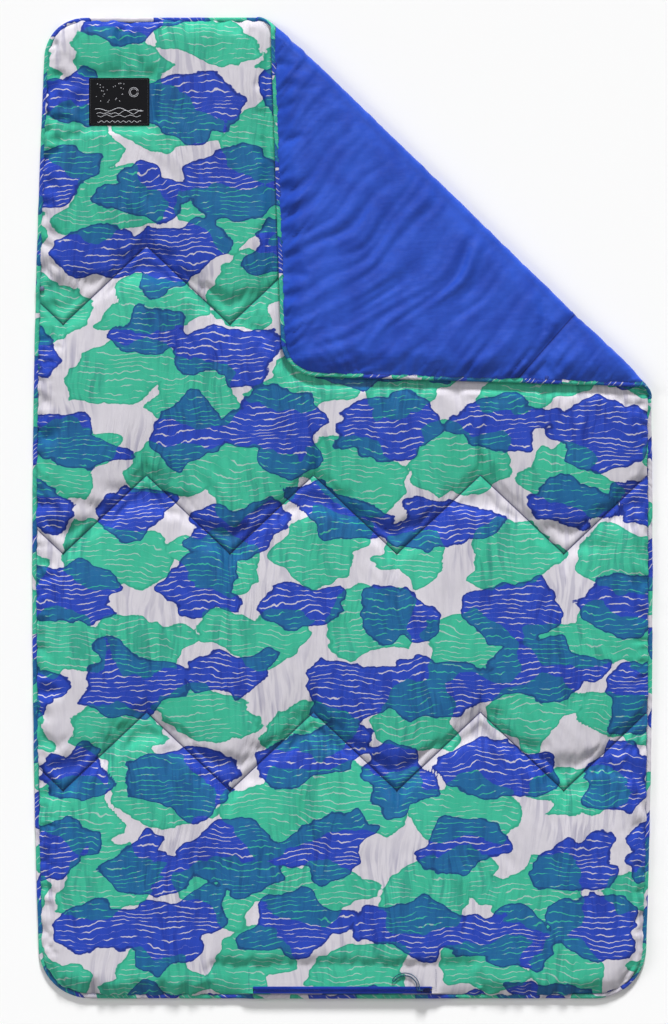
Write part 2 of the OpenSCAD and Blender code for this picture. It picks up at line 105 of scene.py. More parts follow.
# the quilting seams: three zigzag rows, from head to foot
ZIG_PERIOD, ZIG_HEIGHT, ZIG_X0 = 305.3, 144.0, -511.0
ZIG_HALF = ZIG_PERIOD / 2
SEAM_ROWS = HEAD_SEAM, MIDDLE_SEAM, FOOT_SEAM = 407.5, -12.0, -445.5
SEAM_SLOPE = math.atan(2 * ZIG_HEIGHT / ZIG_PERIOD)
SEAM_COS, SEAM_SIN = math.cos(SEAM_SLOPE), math.sin(SEAM_SLOPE)

ZIP_Y = -881.0
SNAP = sum(box_mm("snap_cap"))[:2] / 2
STUD = sum(box_mm("snap_stud"))[:2] / 2
LABEL_LOW, LABEL_HIGH = box_mm("woven_label")


# ---------------------------------------------------------------- small maths
def ease(t):
    t = np.clip(t, 0.0, 1.0)
    return t * t * (3 - 2 * t)


def mix(a, b, t):
    return a + (b - a) * t


def unit(v):
    return v / np.maximum(np.linalg.norm(v, axis=-1, keepdims=True), 1e-9)


def points(x, y, z):
    return np.stack([x, y, z], -1).reshape(-1, 3)


def travel(path):
    """Distance run along a path at each of its points."""
    return np.concatenate([[0], np.cumsum(np.linalg.norm(np.diff(path, axis=0), axis=1))])


def resample(path, step):
    path = np.asarray(path, float)
    at = travel(path)
    t = np.linspace(0, at[-1], int(round(at[-1] / step)) + 1)
    return np.stack([np.interp(t, at, axis) for axis in path.T], 1), t


def lattice_hash(ix, iy, seed):
    h = (ix * 374761393 + iy * 668265263 + seed * 974711) & 0xFFFFFFFF
    h = ((h ^ (h >> 13)) * 1274126177) & 0xFFFFFFFF
    return (h ^ (h >> 16)) / 4294967296.0


def dice(i, j, seed):
    """A fixed number from 0 to 1 for a pair of whole numbers."""
    return float(lattice_hash(np.int64(i * 7 + 3), np.int64(j * 13 + 5), int(seed)))


def noise(x, y, seed=0):
    """Smooth gradient noise, about -1 to 1, the same in every run."""
    x, y = np.broadcast_arrays(np.asarray(x, float), np.asarray(y, float))
    ix, iy = np.floor(x).astype(np.int64), np.floor(y).astype(np.int64)
    fx, fy = x - ix, y - iy
    ux, uy = [f ** 3 * (f * (f * 6 - 15) + 10) for f in (fx, fy)]
    out = np.zeros_like(fx)
    for a in (0, 1):
        for b in (0, 1):
            turn = lattice_hash(ix + a, iy + b, seed) * 2 * PI
            weight = (ux if a else 1 - ux) * (uy if b else 1 - uy)
            out += (np.cos(turn) * (fx - a) + np.sin(turn) * (fy - b)) * weight
    return out * 1.7


def across_fold(x, y):
    return FOLD_OUT[0] * x + FOLD_OUT[1] * y


def along_fold(x, y):
    return FOLD_ALONG[0] * x + FOLD_ALONG[1] * y


def from_fold(along, across):
    return (FOLD_ALONG[0] * along + FOLD_OUT[0] * across,
            FOLD_ALONG[1] * along + FOLD_OUT[1] * across)


def opened(x, y):
    """A point of the turned-down corner, opened flat."""
    reach = 2 * (across_fold(x, y) - MIRROR_LINE)
    return x - reach * FOLD_OUT[0], y - reach * FOLD_OUT[1]


def roll_foot(along):
    """From a place along the fold on the flap to the place on the flat part it rolls to."""
    flap0, flap1, main0, main1 = [along_fold(*end) for end in (
        FLAP_HEAD_END, FLAP_SIDE_END, FOLD_HEAD_END, FOLD_SIDE_END)]
    return main0 + (along - flap0) * (main1 - main0) / (flap1 - flap0)


# ---------------------------------------------------------------- outlines and seams
def side(y):
    return HALF_WIDTH - SIDE_BOW * ((y - WIDEST_Y) / HALF_LENGTH) ** 2


def end_radius(y):
    return np.where(y > 0, HEAD_RADIUS, FOOT_RADIUS)


def rounded_inset(qx, qy, radius):
    """Distance inside a rounded corner, from distances beyond the corner's centre."""
    outside = np.hypot(np.maximum(qx, 0), np.maximum(qy, 0))
    return -(np.minimum(np.maximum(qx, qy), 0) + outside - radius)


def edge_inset(x, y):
    """Distance inside the outline of the flat sheet."""
    r = end_radius(y)
    return rounded_inset(np.abs(x) - (side(y) - r), np.abs(y) - (HALF_LENGTH - r), r)


def flap_local(x, y):
    """Distances up and right from the flap's corner, along its free edges."""
    det = FLAP_UP[0] * FLAP_RIGHT[1] - FLAP_UP[1] * FLAP_RIGHT[0]
    dx, dy = x - FLAP_CORNER[0], y - FLAP_CORNER[1]
    return ((dx * FLAP_RIGHT[1] - dy * FLAP_RIGHT[0]) / det,
            (FLAP_UP[0] * dy - FLAP_UP[1] * dx) / det)


def flap_inset(x, y):
    """Distance inside the free edges of the turned-down corner."""
    up, right = flap_local(x, y)
    return rounded_inset(FLAP_RADIUS - right, FLAP_RADIUS - up, FLAP_RADIUS)


def round_off(qx, qy):
    """Carries a square corner, 0 to 1 each way, onto a quarter disc. Also gives where it is."""
    corner = (qx > 0) & (qy > 0)
    rx = np.where(corner, qx * np.sqrt(np.clip(1 - qy ** 2 / 2, 0, 1)), qx)
    ry = np.where(corner, qy * np.sqrt(np.clip(1 - qx ** 2 / 2, 0, 1)), qy)
    return rx, ry, corner


def outline_position(x, y):
    """Signed distance run along the outline, and a fade where it jumps."""
    r, w = end_radius(y), side(y)
    qx, qy = np.abs(x) - (w - r), np.abs(y) - (HALF_LENGTH - r)
    corner = r * np.arctan2(np.maximum(qx, 0), np.maximum(qy, 1e-6))
    on_side = (w - r) + r * PI / 2 + (HALF_LENGTH - r - np.abs(y))
    at = np.where((qx > 0) & (qy > 0), (w - r) + corner, np.where(qx > qy, on_side, np.abs(x)))
    fade = np.where(qx > qy, ease(np.abs(y) / 18), 1.0)
    return at * np.sign(x + 1e-9) + np.where(y > 0, 0, 5000), fade


def zigzag(x):
    f = (x - ZIG_X0) / ZIG_PERIOD
    f = f - np.floor(f)
    return ZIG_HEIGHT * np.where(f < 0.5, 2 * f, 2 - 2 * f) - ZIG_HEIGHT / 2


def seam_info(x, y):
    """Distance to the nearest seam, position along it, and a fade near its turns."""
    z = zigzag(x)
    best = np.full(np.shape(x), 1e9)
    for row in SEAM_ROWS:
        best = np.minimum(best, np.abs(y - row - z))
    f = (x - ZIG_X0) / ZIG_HALF
    leg = np.floor(f)
    slope = np.where(leg % 2 == 0, 1.0, -1.0)
    at = x * SEAM_COS + slope * y * SEAM_SIN + 977 * (leg % 2)
    return best * SEAM_COS, at, ease(np.minimum(f - leg, leg + 1 - f) * ZIG_HALF / 26)


def seam_signed(x, y):
    """Signed distance to the nearest seam, with signs that agree between rows."""
    z = zigzag(x)
    best, out = np.full(np.shape(x), 1e9), np.full(np.shape(x), 25.0)
    for n, row in enumerate(SEAM_ROWS):
        e = (y - row - z) * SEAM_COS
        near = np.abs(e) < best
        best = np.where(near, np.abs(e), best)
        out = np.where(near, e * (1 if n % 2 else -1), out)
    return np.clip(out, -25, 25)


# ---------------------------------------------------------------- the quilt's surfaces
def edge_profile(inset):
    """How the padding rises from the piping, 0 to 1."""
    q = np.clip((inset - 7.5) / 27.0, 0, 1)
    return np.sqrt(1 - (1 - q) ** 2)


def seam_profile(seam):
    """How the padding rises from a quilting seam, 0 to 1."""
    near, middle = 1 - np.exp(-seam / 3.6), 1 - np.exp(-seam / 15.0)
    return 0.50 * near + 0.34 * middle + 0.16 * ease(seam / 70.0)


def main_mid(inset):
    """Height of the flat part's middle, which sinks towards the edge."""
    return MAIN_MID - 3.0 * (1 - ease(inset / 45))


def turn_creases(x, y):
    """Upright pinches in the cloth above and below the turns of each quilting seam."""
    f = (x - ZIG_X0) / ZIG_HALF
    turn = np.round(f)
    dx = (f - turn) * ZIG_HALF
    peak = (turn % 2) != 0
    out = np.zeros(np.broadcast(x, y).shape)
    for n, row in enumerate(SEAM_ROWS):
        turn_y = row + np.where(peak, ZIG_HEIGHT / 2, -ZIG_HEIGHT / 2)
        up = np.where(peak, y - turn_y, turn_y - y)
        above = np.maximum(up, 0)
        lean = (0.22 * noise(turn * 1.7 + 3.3 * n, 0 * turn + 0.4, seed=171) * above
                + 2.5 * noise(up / 22, turn + 9 * n, seed=172))
        length = 70 + 45 * noise(turn * 2.3 + n, 0 * turn + 0.9, seed=173)
        length = length * np.where(peak, 1.0, 0.72)
        e = (dx + lean) / (3.6 + 0.05 * above)
        groove = -3.0 * np.exp(-e * e)
        lips = 1.1 * np.exp(-((np.abs(e) - 2.4) / 1.2) ** 2)
        out = out + (groove + lips) * ease((up + 3) / 7) * (1 - ease(up / np.maximum(length, 25)))
    return out


def vertical_ripples(x, y, seed):
    """Soft upright folds, in patches, that the batting lets the cloth fall into."""
    patchy = ease(0.5 + 0.9 * noise(x / 95, y / 130, seed + 5))
    wobble = 9 * noise(x / 120, y / 120, seed + 9)
    big = noise((x + wobble) / 24, y / 170, seed)
    fine = noise((x + wobble) / 10.5, y / 115, seed + 1)
    medium = noise((x - wobble) / 15, y / 150, seed + 2)
    slant = noise((x + 0.7 * y + wobble) / 17, (y - 0.7 * x) / 90, seed + 3)
    slant = slant * ease(noise(x / 130, y / 120, seed + 6) * 1.3)
    return 1.15 * big + 0.6 * medium + 0.7 * fine * patchy + 1.3 * slant


def label_zone(x, y):
    """1 under and close round the label, 0 away from it."""
    return (ease((LABEL_HIGH[0] + 20 - x) / 16) * ease((x - LABEL_LOW[0] + 20) / 16)
            * ease((LABEL_HIGH[1] + 20 - y) / 16) * ease((y - LABEL_LOW[1] + 20) / 16))


def main_layers(x, y, wrinkles=1.0):
    """(face z, lining z, mid z) of the flat part at rest, before simulation."""
    inset = edge_inset(x, y)
    seam, seam_at, off_turn = seam_info(x, y)
    rise, quilt = edge_profile(inset), seam_profile(seam)

    # the firm zone round the zip, and the thin one under the snap
    zip_zone = ease((190 - np.abs(x)) / 22) * ease((-846 - y) / 26)
    mid = mix(main_mid(inset), MAIN_MID, zip_zone)
    rise = mix(rise, np.clip((inset - 8.6) / 2.0, 0, 1), zip_zone)
    half = 0.95 + 6.1 * rise * quilt
    snap_zone = 1 - ease((np.hypot(x - SNAP[0], y - SNAP[1]) - 7.5) / 15)
    mid, half = mix(mid, MAIN_MID, snap_zone), mix(half, 1.02, snap_zone)

    # where the cloth has to stay calm: under the flap, round the zip and under its pull cord
    under_flap = ease((flap_inset(x, y) + 26) / 26)
    label = label_zone(x, y)
    cord_zone = ease((244 - np.abs(x)) / 24) * ease((-816 - y) / 20)
    calm = (1 - under_flap) * (1 - 0.97 * np.maximum(zip_zone, cord_zone)) * (1 - snap_zone)

    # crown of each panel, puckers at the edge and at the seams, ripples between
    crown = 2.6 * rise * quilt * ease(seam / 95) * calm
    edge_at, edge_fade = outline_position(x, y)
    from_piping = ease((inset - 7) / 9)
    pucker = (1.25 * noise(edge_at / 8.5, inset / 70, seed=31)
              + 0.6 * noise(edge_at / 4.9, inset / 40, seed=32))
    pucker = pucker * edge_fade * np.exp(-np.maximum(inset - 12, 0) / 26) * from_piping
    seam_pucker = (1.15 * noise(seam_at / 9.5, seam / 60 + 40, seed=41)
                   + 0.5 * noise(seam_at / 5.2, seam / 40, seed=42))
    seam_pucker = seam_pucker * off_turn * np.exp(-seam / 24) * ease(seam / 7)
    folds = 1.2 * vertical_ripples(x, y, seed=11) * ease(seam / 16) + turn_creases(x, y)
    ripple = (folds * rise + pucker + seam_pucker) * calm * (1 - 0.95 * label)
    face = mid + half + crown + ripple * wrinkles

    # a level bed for the zip, with a slot along it, and level ground for label and flap
    zip_off = np.abs(y - ZIP_Y)
    slot = zip_zone * ease((5.2 - zip_off) / 0.9) * ease((165 - np.abs(x)) / 2)
    firm = zip_zone * ease((inset - 9) / 1.6)
    face = mix(face, PRESSED_Z, firm * ease((14 - zip_off) / 6))
    face = face - 1.75 * slot
    face = np.where(label > 0, mix(face, np.minimum(face, PRESSED_Z), label), face)
    face = mix(face, np.minimum(face, PRESSED_Z), under_flap)

    # the lining's wrinkles only lift it off the floor
    slanted = noise((x - 0.8 * y) / 26, (y + 0.8 * x) / 120, seed=61)
    lift = 1.15 * np.maximum(vertical_ripples(x, y, seed=64) + 0.4, 0)
    lift = (lift + 1.6 * np.maximum(0, slanted)) * ease(seam / 20)
    lift = lift + (0.8 * np.abs(noise(seam_at / 11, seam / 70, seed=66)) * off_turn
                   * np.exp(-seam / 30) * ease(seam / 6))
    edge_lift = (1.5 * np.abs(noise(edge_at / 9.0, inset / 60, seed=63))
                 * np.exp(-np.maximum(inset - 10, 0) / 30) * from_piping)
    lift = (lift + edge_lift) * (1 - snap_zone) * rise * (1 - zip_zone)
    lining = np.maximum(0.12, mid - half + 0.12 + lift)
    return face, np.minimum(lining, face - 1.6), mid


def flap_layers(x, y, wrinkles=1.0):
    """(lining z on top, face z below, mid z, snap zone) of the turned-down corner at rest."""
    inset = flap_inset(x, y)
    open_x, open_y = opened(x, y)
    seam, seam_at, off_turn = seam_info(open_x, open_y)
    seam = np.where(open_y < FLAP_SEAM_Y, 200.0, seam)
    rise, quilt = edge_profile(inset), seam_profile(seam)
    mid = FLAP_MID - 4.2 * (1 - ease(inset / 45))
    half = 1.0 + 5.7 * rise * quilt
    snap_zone = 1 - ease((np.hypot(x - STUD[0], y - STUD[1]) - 6.5) / 14)
    mid, half = mix(mid, 23.0, snap_zone), mix(half, 1.95, snap_zone)
    free = 1 - snap_zone
    along = along_fold(x, y)
    from_roll = FOLD_START - across_fold(x, y)
    off_roll = ease(from_roll / 14)

    # puckers that lean away from the free edges
    up, right = flap_local(x, y)
    corner = FLAP_RADIUS * np.arctan2(np.maximum(FLAP_RADIUS - up, 0),
                                      np.maximum(FLAP_RADIUS - right, 1e-6))
    straight = np.where(up > right, FLAP_RADIUS - up, FLAP_RADIUS * PI / 2 + right - FLAP_RADIUS)
    edge_at = np.where((up < FLAP_RADIUS) & (right < FLAP_RADIUS), corner, straight)
    lean = mix(mix(-0.75, 0.8, ease((right - 130) / 130)), -1.15, ease((up - right) / 70 + 0.5))
    leaned = edge_at - lean * np.minimum(inset, 170)
    patchy = 0.45 + 0.55 * ease(0.5 + 1.2 * noise(edge_at / 60, 0 * inset + 2, seed=70))
    ridges = 2.4 * np.abs(noise(leaned / 17, inset / 200, seed=71)) - 1
    pucker = ((2.9 * ridges + 1.0 * noise(leaned / 8, inset / 120, seed=72)) * patchy
              * np.exp(-np.maximum(inset - 14, 0) / 52) * ease((inset - 7) / 9) * free)

    # drapes that run out from the roll
    wobble = 16 * noise(along / 110, from_roll / 110, seed=75)
    q = along - 0.2 * from_roll + wobble + 0.0009 * from_roll * from_roll * np.sign(inset + 1)
    patchy = 0.45 + 0.55 * ease(0.5 + 1.1 * noise(along / 120, from_roll / 140, seed=76))
    patchy = patchy * (0.30 + 0.70 * ease(from_roll / 60))
    ridges = 2.3 * np.abs(noise(q / 34, from_roll / 260, seed=73)) - 1
    drape = (3.1 * ridges + 1.8 * noise(q / 21, from_roll / 190, seed=79)
             + 0.7 * noise(q / 9.5, from_roll / 120, seed=74)) * patchy
    seam_pucker = (1.0 * noise(seam_at / 9.5, seam / 60, seed=77) * off_turn
                   * np.exp(-seam / 22) * ease(seam / 7))
    folds = drape * rise * ease(seam / 14) * free + seam_pucker * free
    top = (mid + half + 1.1 * rise * quilt * ease(inset / 90) * off_roll
           + (folds * mix(0.45, 1.0, off_roll) + pucker) * wrinkles)
    low = mid - half + 0.4 * noise(x / 22, y / 60, seed=78) * rise * off_roll * free
    return top, np.minimum(low, top - 1.6), mid, snap_zone


# ---------------------------------------------------------------- grids
def main_grid():
    """Grid points of the flat sheet, whose rows bend into the seams, and the seams' rows."""
    rows = np.sort(np.concatenate([
        [seam + off for seam in SEAM_ROWS for off in (-3.9, -1.8, 1.8, 3.9)],
        [-HALF_LENGTH + INSET, -892, -890, -888.6, -887.3, -886.2, -885, -881, -877, -875.8,
         -874.7, -872.5, -869.5, -866, -862, -857.5],
        np.linspace(-853, FOOT_SEAM, 83),
        np.linspace(FOOT_SEAM, MIDDLE_SEAM, 87)[1:],
        np.linspace(MIDDLE_SEAM, HEAD_SEAM, 85)[1:],
        np.linspace(HEAD_SEAM, 853, 89)[1:],
        [857.5, 862, 866.5, 871, 875, 879, 887, 890, 892.3, HALF_LENGTH - INSET]]))
    # how far each row follows the zigzag: fully at a seam, not at all halfway to the next
    low_half, high_half = (FOOT_SEAM + MIDDLE_SEAM) / 2, (MIDDLE_SEAM + HEAD_SEAM) / 2
    follow = np.zeros_like(rows)
    for seam, low, high in ((FOOT_SEAM, -660, low_half), (MIDDLE_SEAM, low_half, high_half),
                            (HEAD_SEAM, high_half, 650)):
        follow += np.where(rows < seam, ease((rows - low) / (seam - low)),
                           ease((high - rows) / (high - seam)))
    rows, follow = rows[:, None], follow[:, None]
    core = ZIG_X0 + (ZIG_PERIOD / 60) * np.arange(202)

    def margin(sign, inner_x, fractions):
        """Columns from the core to one side edge, solved with the bend of the rows."""
        y = rows
        for _ in range(4):
            x = inner_x + (sign * (side(y) - INSET) - inner_x) * fractions
            y = rows + zigzag(x) * follow
        return x, y

    left = np.array([0, .085, .17, .255, .34, .425, .51, .60, .69, .775, .855, .93, 1.0])[::-1]
    right = np.concatenate([[0], np.linspace(.075, .86, 11), [.93, 1.0]])
    left_x, left_y = margin(-1, core[0], left)
    right_x, right_y = margin(1, core[-1], right)
    core_x = np.tile(core, (len(rows), 1))
    core_y = rows + zigzag(core_x) * follow
    x = np.concatenate([left_x[:, :-1], core_x, right_x[:, 1:]], 1)
    y = np.concatenate([left_y[:, :-1], core_y, right_y[:, 1:]], 1)

    radius = end_radius(y)
    inner = radius - INSET
    centre_x, centre_y = side(y) - radius, HALF_LENGTH - radius
    qx, qy, corner = round_off((np.abs(x) - centre_x) / inner, (np.abs(y) - centre_y) / inner)
    x, y = (np.where(corner, np.sign(x) * (centre_x + qx * inner), x),
            np.where(corner, np.sign(y) * (centre_y + qy * inner), y))
    return x, y, [int(np.argmin(np.abs(rows - seam))) for seam in SEAM_ROWS]


def flap_grid():
    """Grid points of the turned-down corner, along its free edges."""
    steps = np.concatenate([[INSET, 6, 8.5, 11, 14, 17.5, 21.5], 26 + 5.0 * np.arange(130)])
    up, right = np.meshgrid(steps, steps, indexing="ij")
    inner = FLAP_RADIUS - INSET
    qx, qy, _ = round_off((FLAP_RADIUS - right) / inner, (FLAP_RADIUS - up) / inner)
    right, up = FLAP_RADIUS - qx * inner, FLAP_RADIUS - qy * inner
    return [FLAP_CORNER[k] + up * FLAP_UP[k] + right * FLAP_RIGHT[k] for k in (0, 1)]


def grid_faces(ni, nj, base=0, flip=False):
    i, j = np.meshgrid(np.arange(ni - 1), np.arange(nj - 1), indexing="ij")
    a = base + i * nj + j
    quads = np.stack([a, a + 1, a + nj + 1, a + nj], -1).reshape(-1, 4)
    return quads[:, ::-1] if flip else quads


def rim_index(ni, nj, base=0):
    """Indices round the rim of a grid."""
    grid = base + np.arange(ni * nj).reshape(ni, nj)
    return np.concatenate([grid[0], grid[1:, -1], grid[-1, -2::-1], grid[-2:0:-1, 0]])


def tube_faces(rings, sides, closed=False):
    """Faces of a tube of rings; an open one has a cap at each end."""
    i, j = np.meshgrid(np.arange(rings if closed else rings - 1), np.arange(sides), indexing="ij")
    here, ahead = i * sides, (i + 1) % rings * sides
    after = (j + 1) % sides
    quads = np.stack([here + j, here + after, ahead + after, ahead + j], -1).reshape(-1, 4)
    if closed:
        return [quads]
    return [quads, np.arange(sides)[::-1][None], (rings - 1) * sides + np.arange(sides)[None]]


def neighbourhood(values, pick):
    """The least or greatest value, by pick, within two grid steps."""
    reach = 2
    padded = np.pad(values, reach, mode="edge")
    out = values.copy()
    for i in range(2 * reach + 1):
        for j in range(2 * reach + 1):
            out = pick(out, padded[i:i + values.shape[0], j:j + values.shape[1]])
    return out


# ---------------------------------------------------------------- meshes
def make_mesh(name, co, faces, flat=None):
    """A smooth mesh object from points in mm and a list of face arrays."""
    me = bpy.data.meshes.new(name)
    co = np.asarray(co, float) * MM
    faces = [np.asarray(f, np.int32) for f in faces]
    loops = np.concatenate([f.ravel() for f in faces])
    starts, at = [], 0
    for f in faces:
        starts.append(at + np.arange(len(f)) * f.shape[1])
        at += f.size
    starts = np.concatenate(starts)
    me.vertices.add(len(co))
    me.vertices.foreach_set("co", co.astype(np.float32).ravel())
    me.loops.add(len(loops))
    me.loops.foreach_set("vertex_index", loops)
    me.polygons.add(len(starts))
    me.polygons.foreach_set("loop_start", starts.astype(np.int32))
    me.update(calc_edges=True)
    me.validate()
    me.shade_smooth()
    if flat is not None:
        layer = me.attributes.new("flat", "FLOAT_VECTOR", "POINT")
        layer.data.foreach_set("vector", np.asarray(flat, np.float32).ravel())
    ob = bpy.data.objects.new(name, me)
    scene.collection.objects.link(ob)
    return ob


def slab(name, x, y, top, bottom):
    """A closed solid between two height grids over the same places."""
    shape, count = x.shape, x.size
    upper, lower = rim_index(*shape), rim_index(*shape, count)
    rim = np.stack([upper, lower, np.roll(lower, -1), np.roll(upper, -1)], 1)
    return make_mesh(name, np.concatenate([points(x, y, top), points(x, y, bottom)]),
                     [grid_faces(*shape), grid_faces(*shape, count, True), rim])


@contextmanager
def editing(ob):
    bm = bmesh.new()
    bm.from_mesh(ob.data)
    yield bm
    bm.to_mesh(ob.data)
    bm.free()
    ob.data.update()


def face_outwards(ob):
    """Turns all faces outwards and leaves the caps flat shaded."""
    with editing(ob) as bm:
        bmesh.ops.recalc_face_normals(bm, faces=bm.faces[:])
        for f in bm.faces:
            f.smooth = len(f.verts) <= 4


def join(name, objects):
    """Puts all objects' meshes into the first."""
    with editing(objects[0]) as bm:
        for ob in objects[1:]:
            bm.from_mesh(ob.data)
    for ob in objects[1:]:
        bpy.data.objects.remove(ob)
    objects[0].name = name
    return objects[0]


def read_mm(ob, name="position"):
    data = ob.data.attributes[name].data
    v = np.zeros(len(data) * 3, np.float32)
    data.foreach_get("vector", v)
    return v.reshape(-1, 3).astype(float) * 1000


def read_bend(ob):
    data = ob.data.attributes["bend"].data
    v = np.zeros(len(data), np.float32)
    data.foreach_get("value", v)
    return v.astype(float)


def set_attr(ob, name, values):
    me = ob.data
    layer = me.attributes.get(name) or me.attributes.new(name, "FLOAT", "POINT")
    layer.data.foreach_set("value", np.asarray(values, np.float32).ravel())


def slots(ob, *materials):
    ob.data.materials.clear()
    for material in materials:
        ob.data.materials.append(material)


def register(ob, nodes, ride=None, bend=None):
    """Tells the frame what a piece replaces and how it moves: with one body, with the
    corner by its own bend weights, or blended between foot and head."""
    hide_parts(*nodes)
    if ride:
        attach(ob, ride)
    elif bend is None:
        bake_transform(ob, "foot_part", "head_part", start=(0, 0.091, 0), end=(0, 0.131, 0))
    else:
        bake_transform(ob, "head_part", "corner_part", start=(0.38, 0.38, 0.0), end=(0.38, 0.38, 0.03))
        set_attr(ob, "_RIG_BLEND", bend)


# ---------------------------------------------------------------- cloth simulation
def simulate(x, y, z, pin, grow, most, frames=20):
    """Puffs a cloth grid between its pinned seams. Gives how far each point moved, in mm."""
    rest = points(x, y, z)
    ob = make_mesh("sim_cloth", rest, [grid_faces(*x.shape)])
    group = ob.vertex_groups.new(name="pin")
    group.add([int(i) for i in np.nonzero(pin.ravel())[0]], 1.0, "REPLACE")
    mod = ob.modifiers.new("Cloth", "CLOTH")
    cloth = mod.settings
    cloth.quality = 4
    cloth.mass = 0.12
    cloth.tension_stiffness = 20
    cloth.compression_stiffness = 12
    cloth.shear_stiffness = 6
    cloth.bending_stiffness = 0.02
    cloth.air_damping = 1.0
    cloth.use_pressure = True
    cloth.uniform_pressure_force = 4.0
    cloth.vertex_group_mass = "pin"
    cloth.shrink_min = -grow
    cloth.effector_weights.gravity = 0
    mod.collision_settings.use_collision = False
    mod.point_cache.frame_start, mod.point_cache.frame_end = 1, frames + 1
    for f in range(1, frames + 1):
        scene.frame_set(f)
    bpy.context.view_layer.objects.active = ob
    ob.select_set(True)
    bpy.ops.object.modifier_apply(modifier="Cloth")
    moved = np.nan_to_num(read_mm(ob) - rest)
    bpy.data.objects.remove(ob)
    scene.frame_set(1)
    size = np.linalg.norm(moved, axis=1)
    moved *= (np.minimum(size, most) / np.maximum(size, 1e-9))[:, None]
    return moved.reshape(x.shape + (3,))


def upsample(grid):
    """From every second grid point to every point, smoothly."""
    def first_axis(coarse):
        n = coarse.shape[0]
        p = np.concatenate([coarse[:1], coarse, coarse[-1:]], 0)
        out = np.zeros((2 * n - 1,) + coarse.shape[1:])
        out[::2] = coarse
        out[1::2] = (9 * (p[1:-2] + p[2:-1]) - p[:-3] - p[3:]) / 16
        return out
    return first_axis(first_axis(grid).swapaxes(0, 1)).swapaxes(0, 1)


# ---------------------------------------------------------------- the print: two inks
def ink_field(x, y, layer):
    """Signed distance, in mm, to the nearest patch of an ink: negative inside.
    Patches lie in a shifted lattice and each has its own size, tilt and ragged rim."""
    cell_x, cell_y = 192.0, 154.0
    repeat_x, repeat_y = 6, 8           # cells after which the patches repeat
    patch_x, patch_y = (87, 55) if layer else (88, 57)
    shift_x, shift_y = (0.27, 0.42) if layer else (0.0, 0.0)
    knots, soften = 9, 5.5              # corners of a patch's rim; how softly patches merge
    x = x + 16 * noise(x / 60, y / 55, seed=90 + layer)
    y = y + 10 * noise(x / 55, y / 60, seed=95 + layer)
    out = np.full(np.shape(x), 1e3)
    gi, gj = np.floor(x / cell_x).astype(int), np.floor(y / cell_y).astype(int)
    for j in range(gj.min() - 1, gj.max() + 2):
        for i in range(gi.min() - 1, gi.max() + 2):
            pi, pj = i % repeat_x, j % repeat_y

            def roll(k, step=0):
                return dice(pi + step, pj, 100 * layer + k)

            offset = (0.5 if j % 2 else 0.0) + shift_x
            cx = (i + 0.5 + offset - 0.25 + 0.34 * (roll(1) - 0.5)) * cell_x
            cy = (j + 0.5 + shift_y + 0.34 * (roll(2) - 0.5)) * cell_y
            a = patch_x * (0.80 + 0.40 * roll(3))
            b = patch_y * (0.80 + 0.42 * roll(4))
            tilt = 0.5 * (roll(5) - 0.5)
            near = (np.abs(x - cx) < 2.1 * a) & (np.abs(y - cy) < 2.3 * b)
            if not near.any():
                continue
            dx, dy = x[near] - cx, y[near] - cy
            dx, dy = (dx * math.cos(tilt) + dy * math.sin(tilt),
                      dy * math.cos(tilt) - dx * math.sin(tilt))
            turn = (np.arctan2(dy / b, dx / a) / (2 * PI)) % 1.0
            f = turn * knots
            q = np.floor(f).astype(int)
            knot = np.array([1.0 + 0.62 * (roll(6, pi * 10 + n) - 0.47) for n in range(knots)])
            t = np.clip((f - q - 0.18) / 0.64, 0, 1)
            here, ahead = knot[q % knots], knot[(q + 1) % knots]
            rim = here + (ahead - here) * t * t * (3 - 2 * t)
            rim = (rim + 0.035 * np.sin(2 * PI * (5 * turn + roll(7)))
                   + 0.025 * np.sin(2 * PI * (13 * turn + roll(8))))
            new = (np.hypot(dx / a, dy / b) - rim) * b * 0.9
            old = out[near]
            h = np.clip(0.5 + 0.5 * (old - new) / soften, 0, 1)
            merge = soften * h * (1 - h) * (np.abs(old) < 500)
            out[near] = old * (1 - h) + new * h - merge
    return out


def add_ink(ob, x, y):
    set_attr(ob, "ink_a", ink_field(x, y, 0))
    set_attr(ob, "ink_b", ink_field(x, y, 1))


# ---------------------------------------------------------------- materials
def srgb(*channels):
    linear = []
    for c in channels:
        c /= 255.0
        linear.append(c / 12.92 if c <= 0.04045 else ((c + 0.055) / 1.055) ** 2.4)
    return (*linear, 1.0)


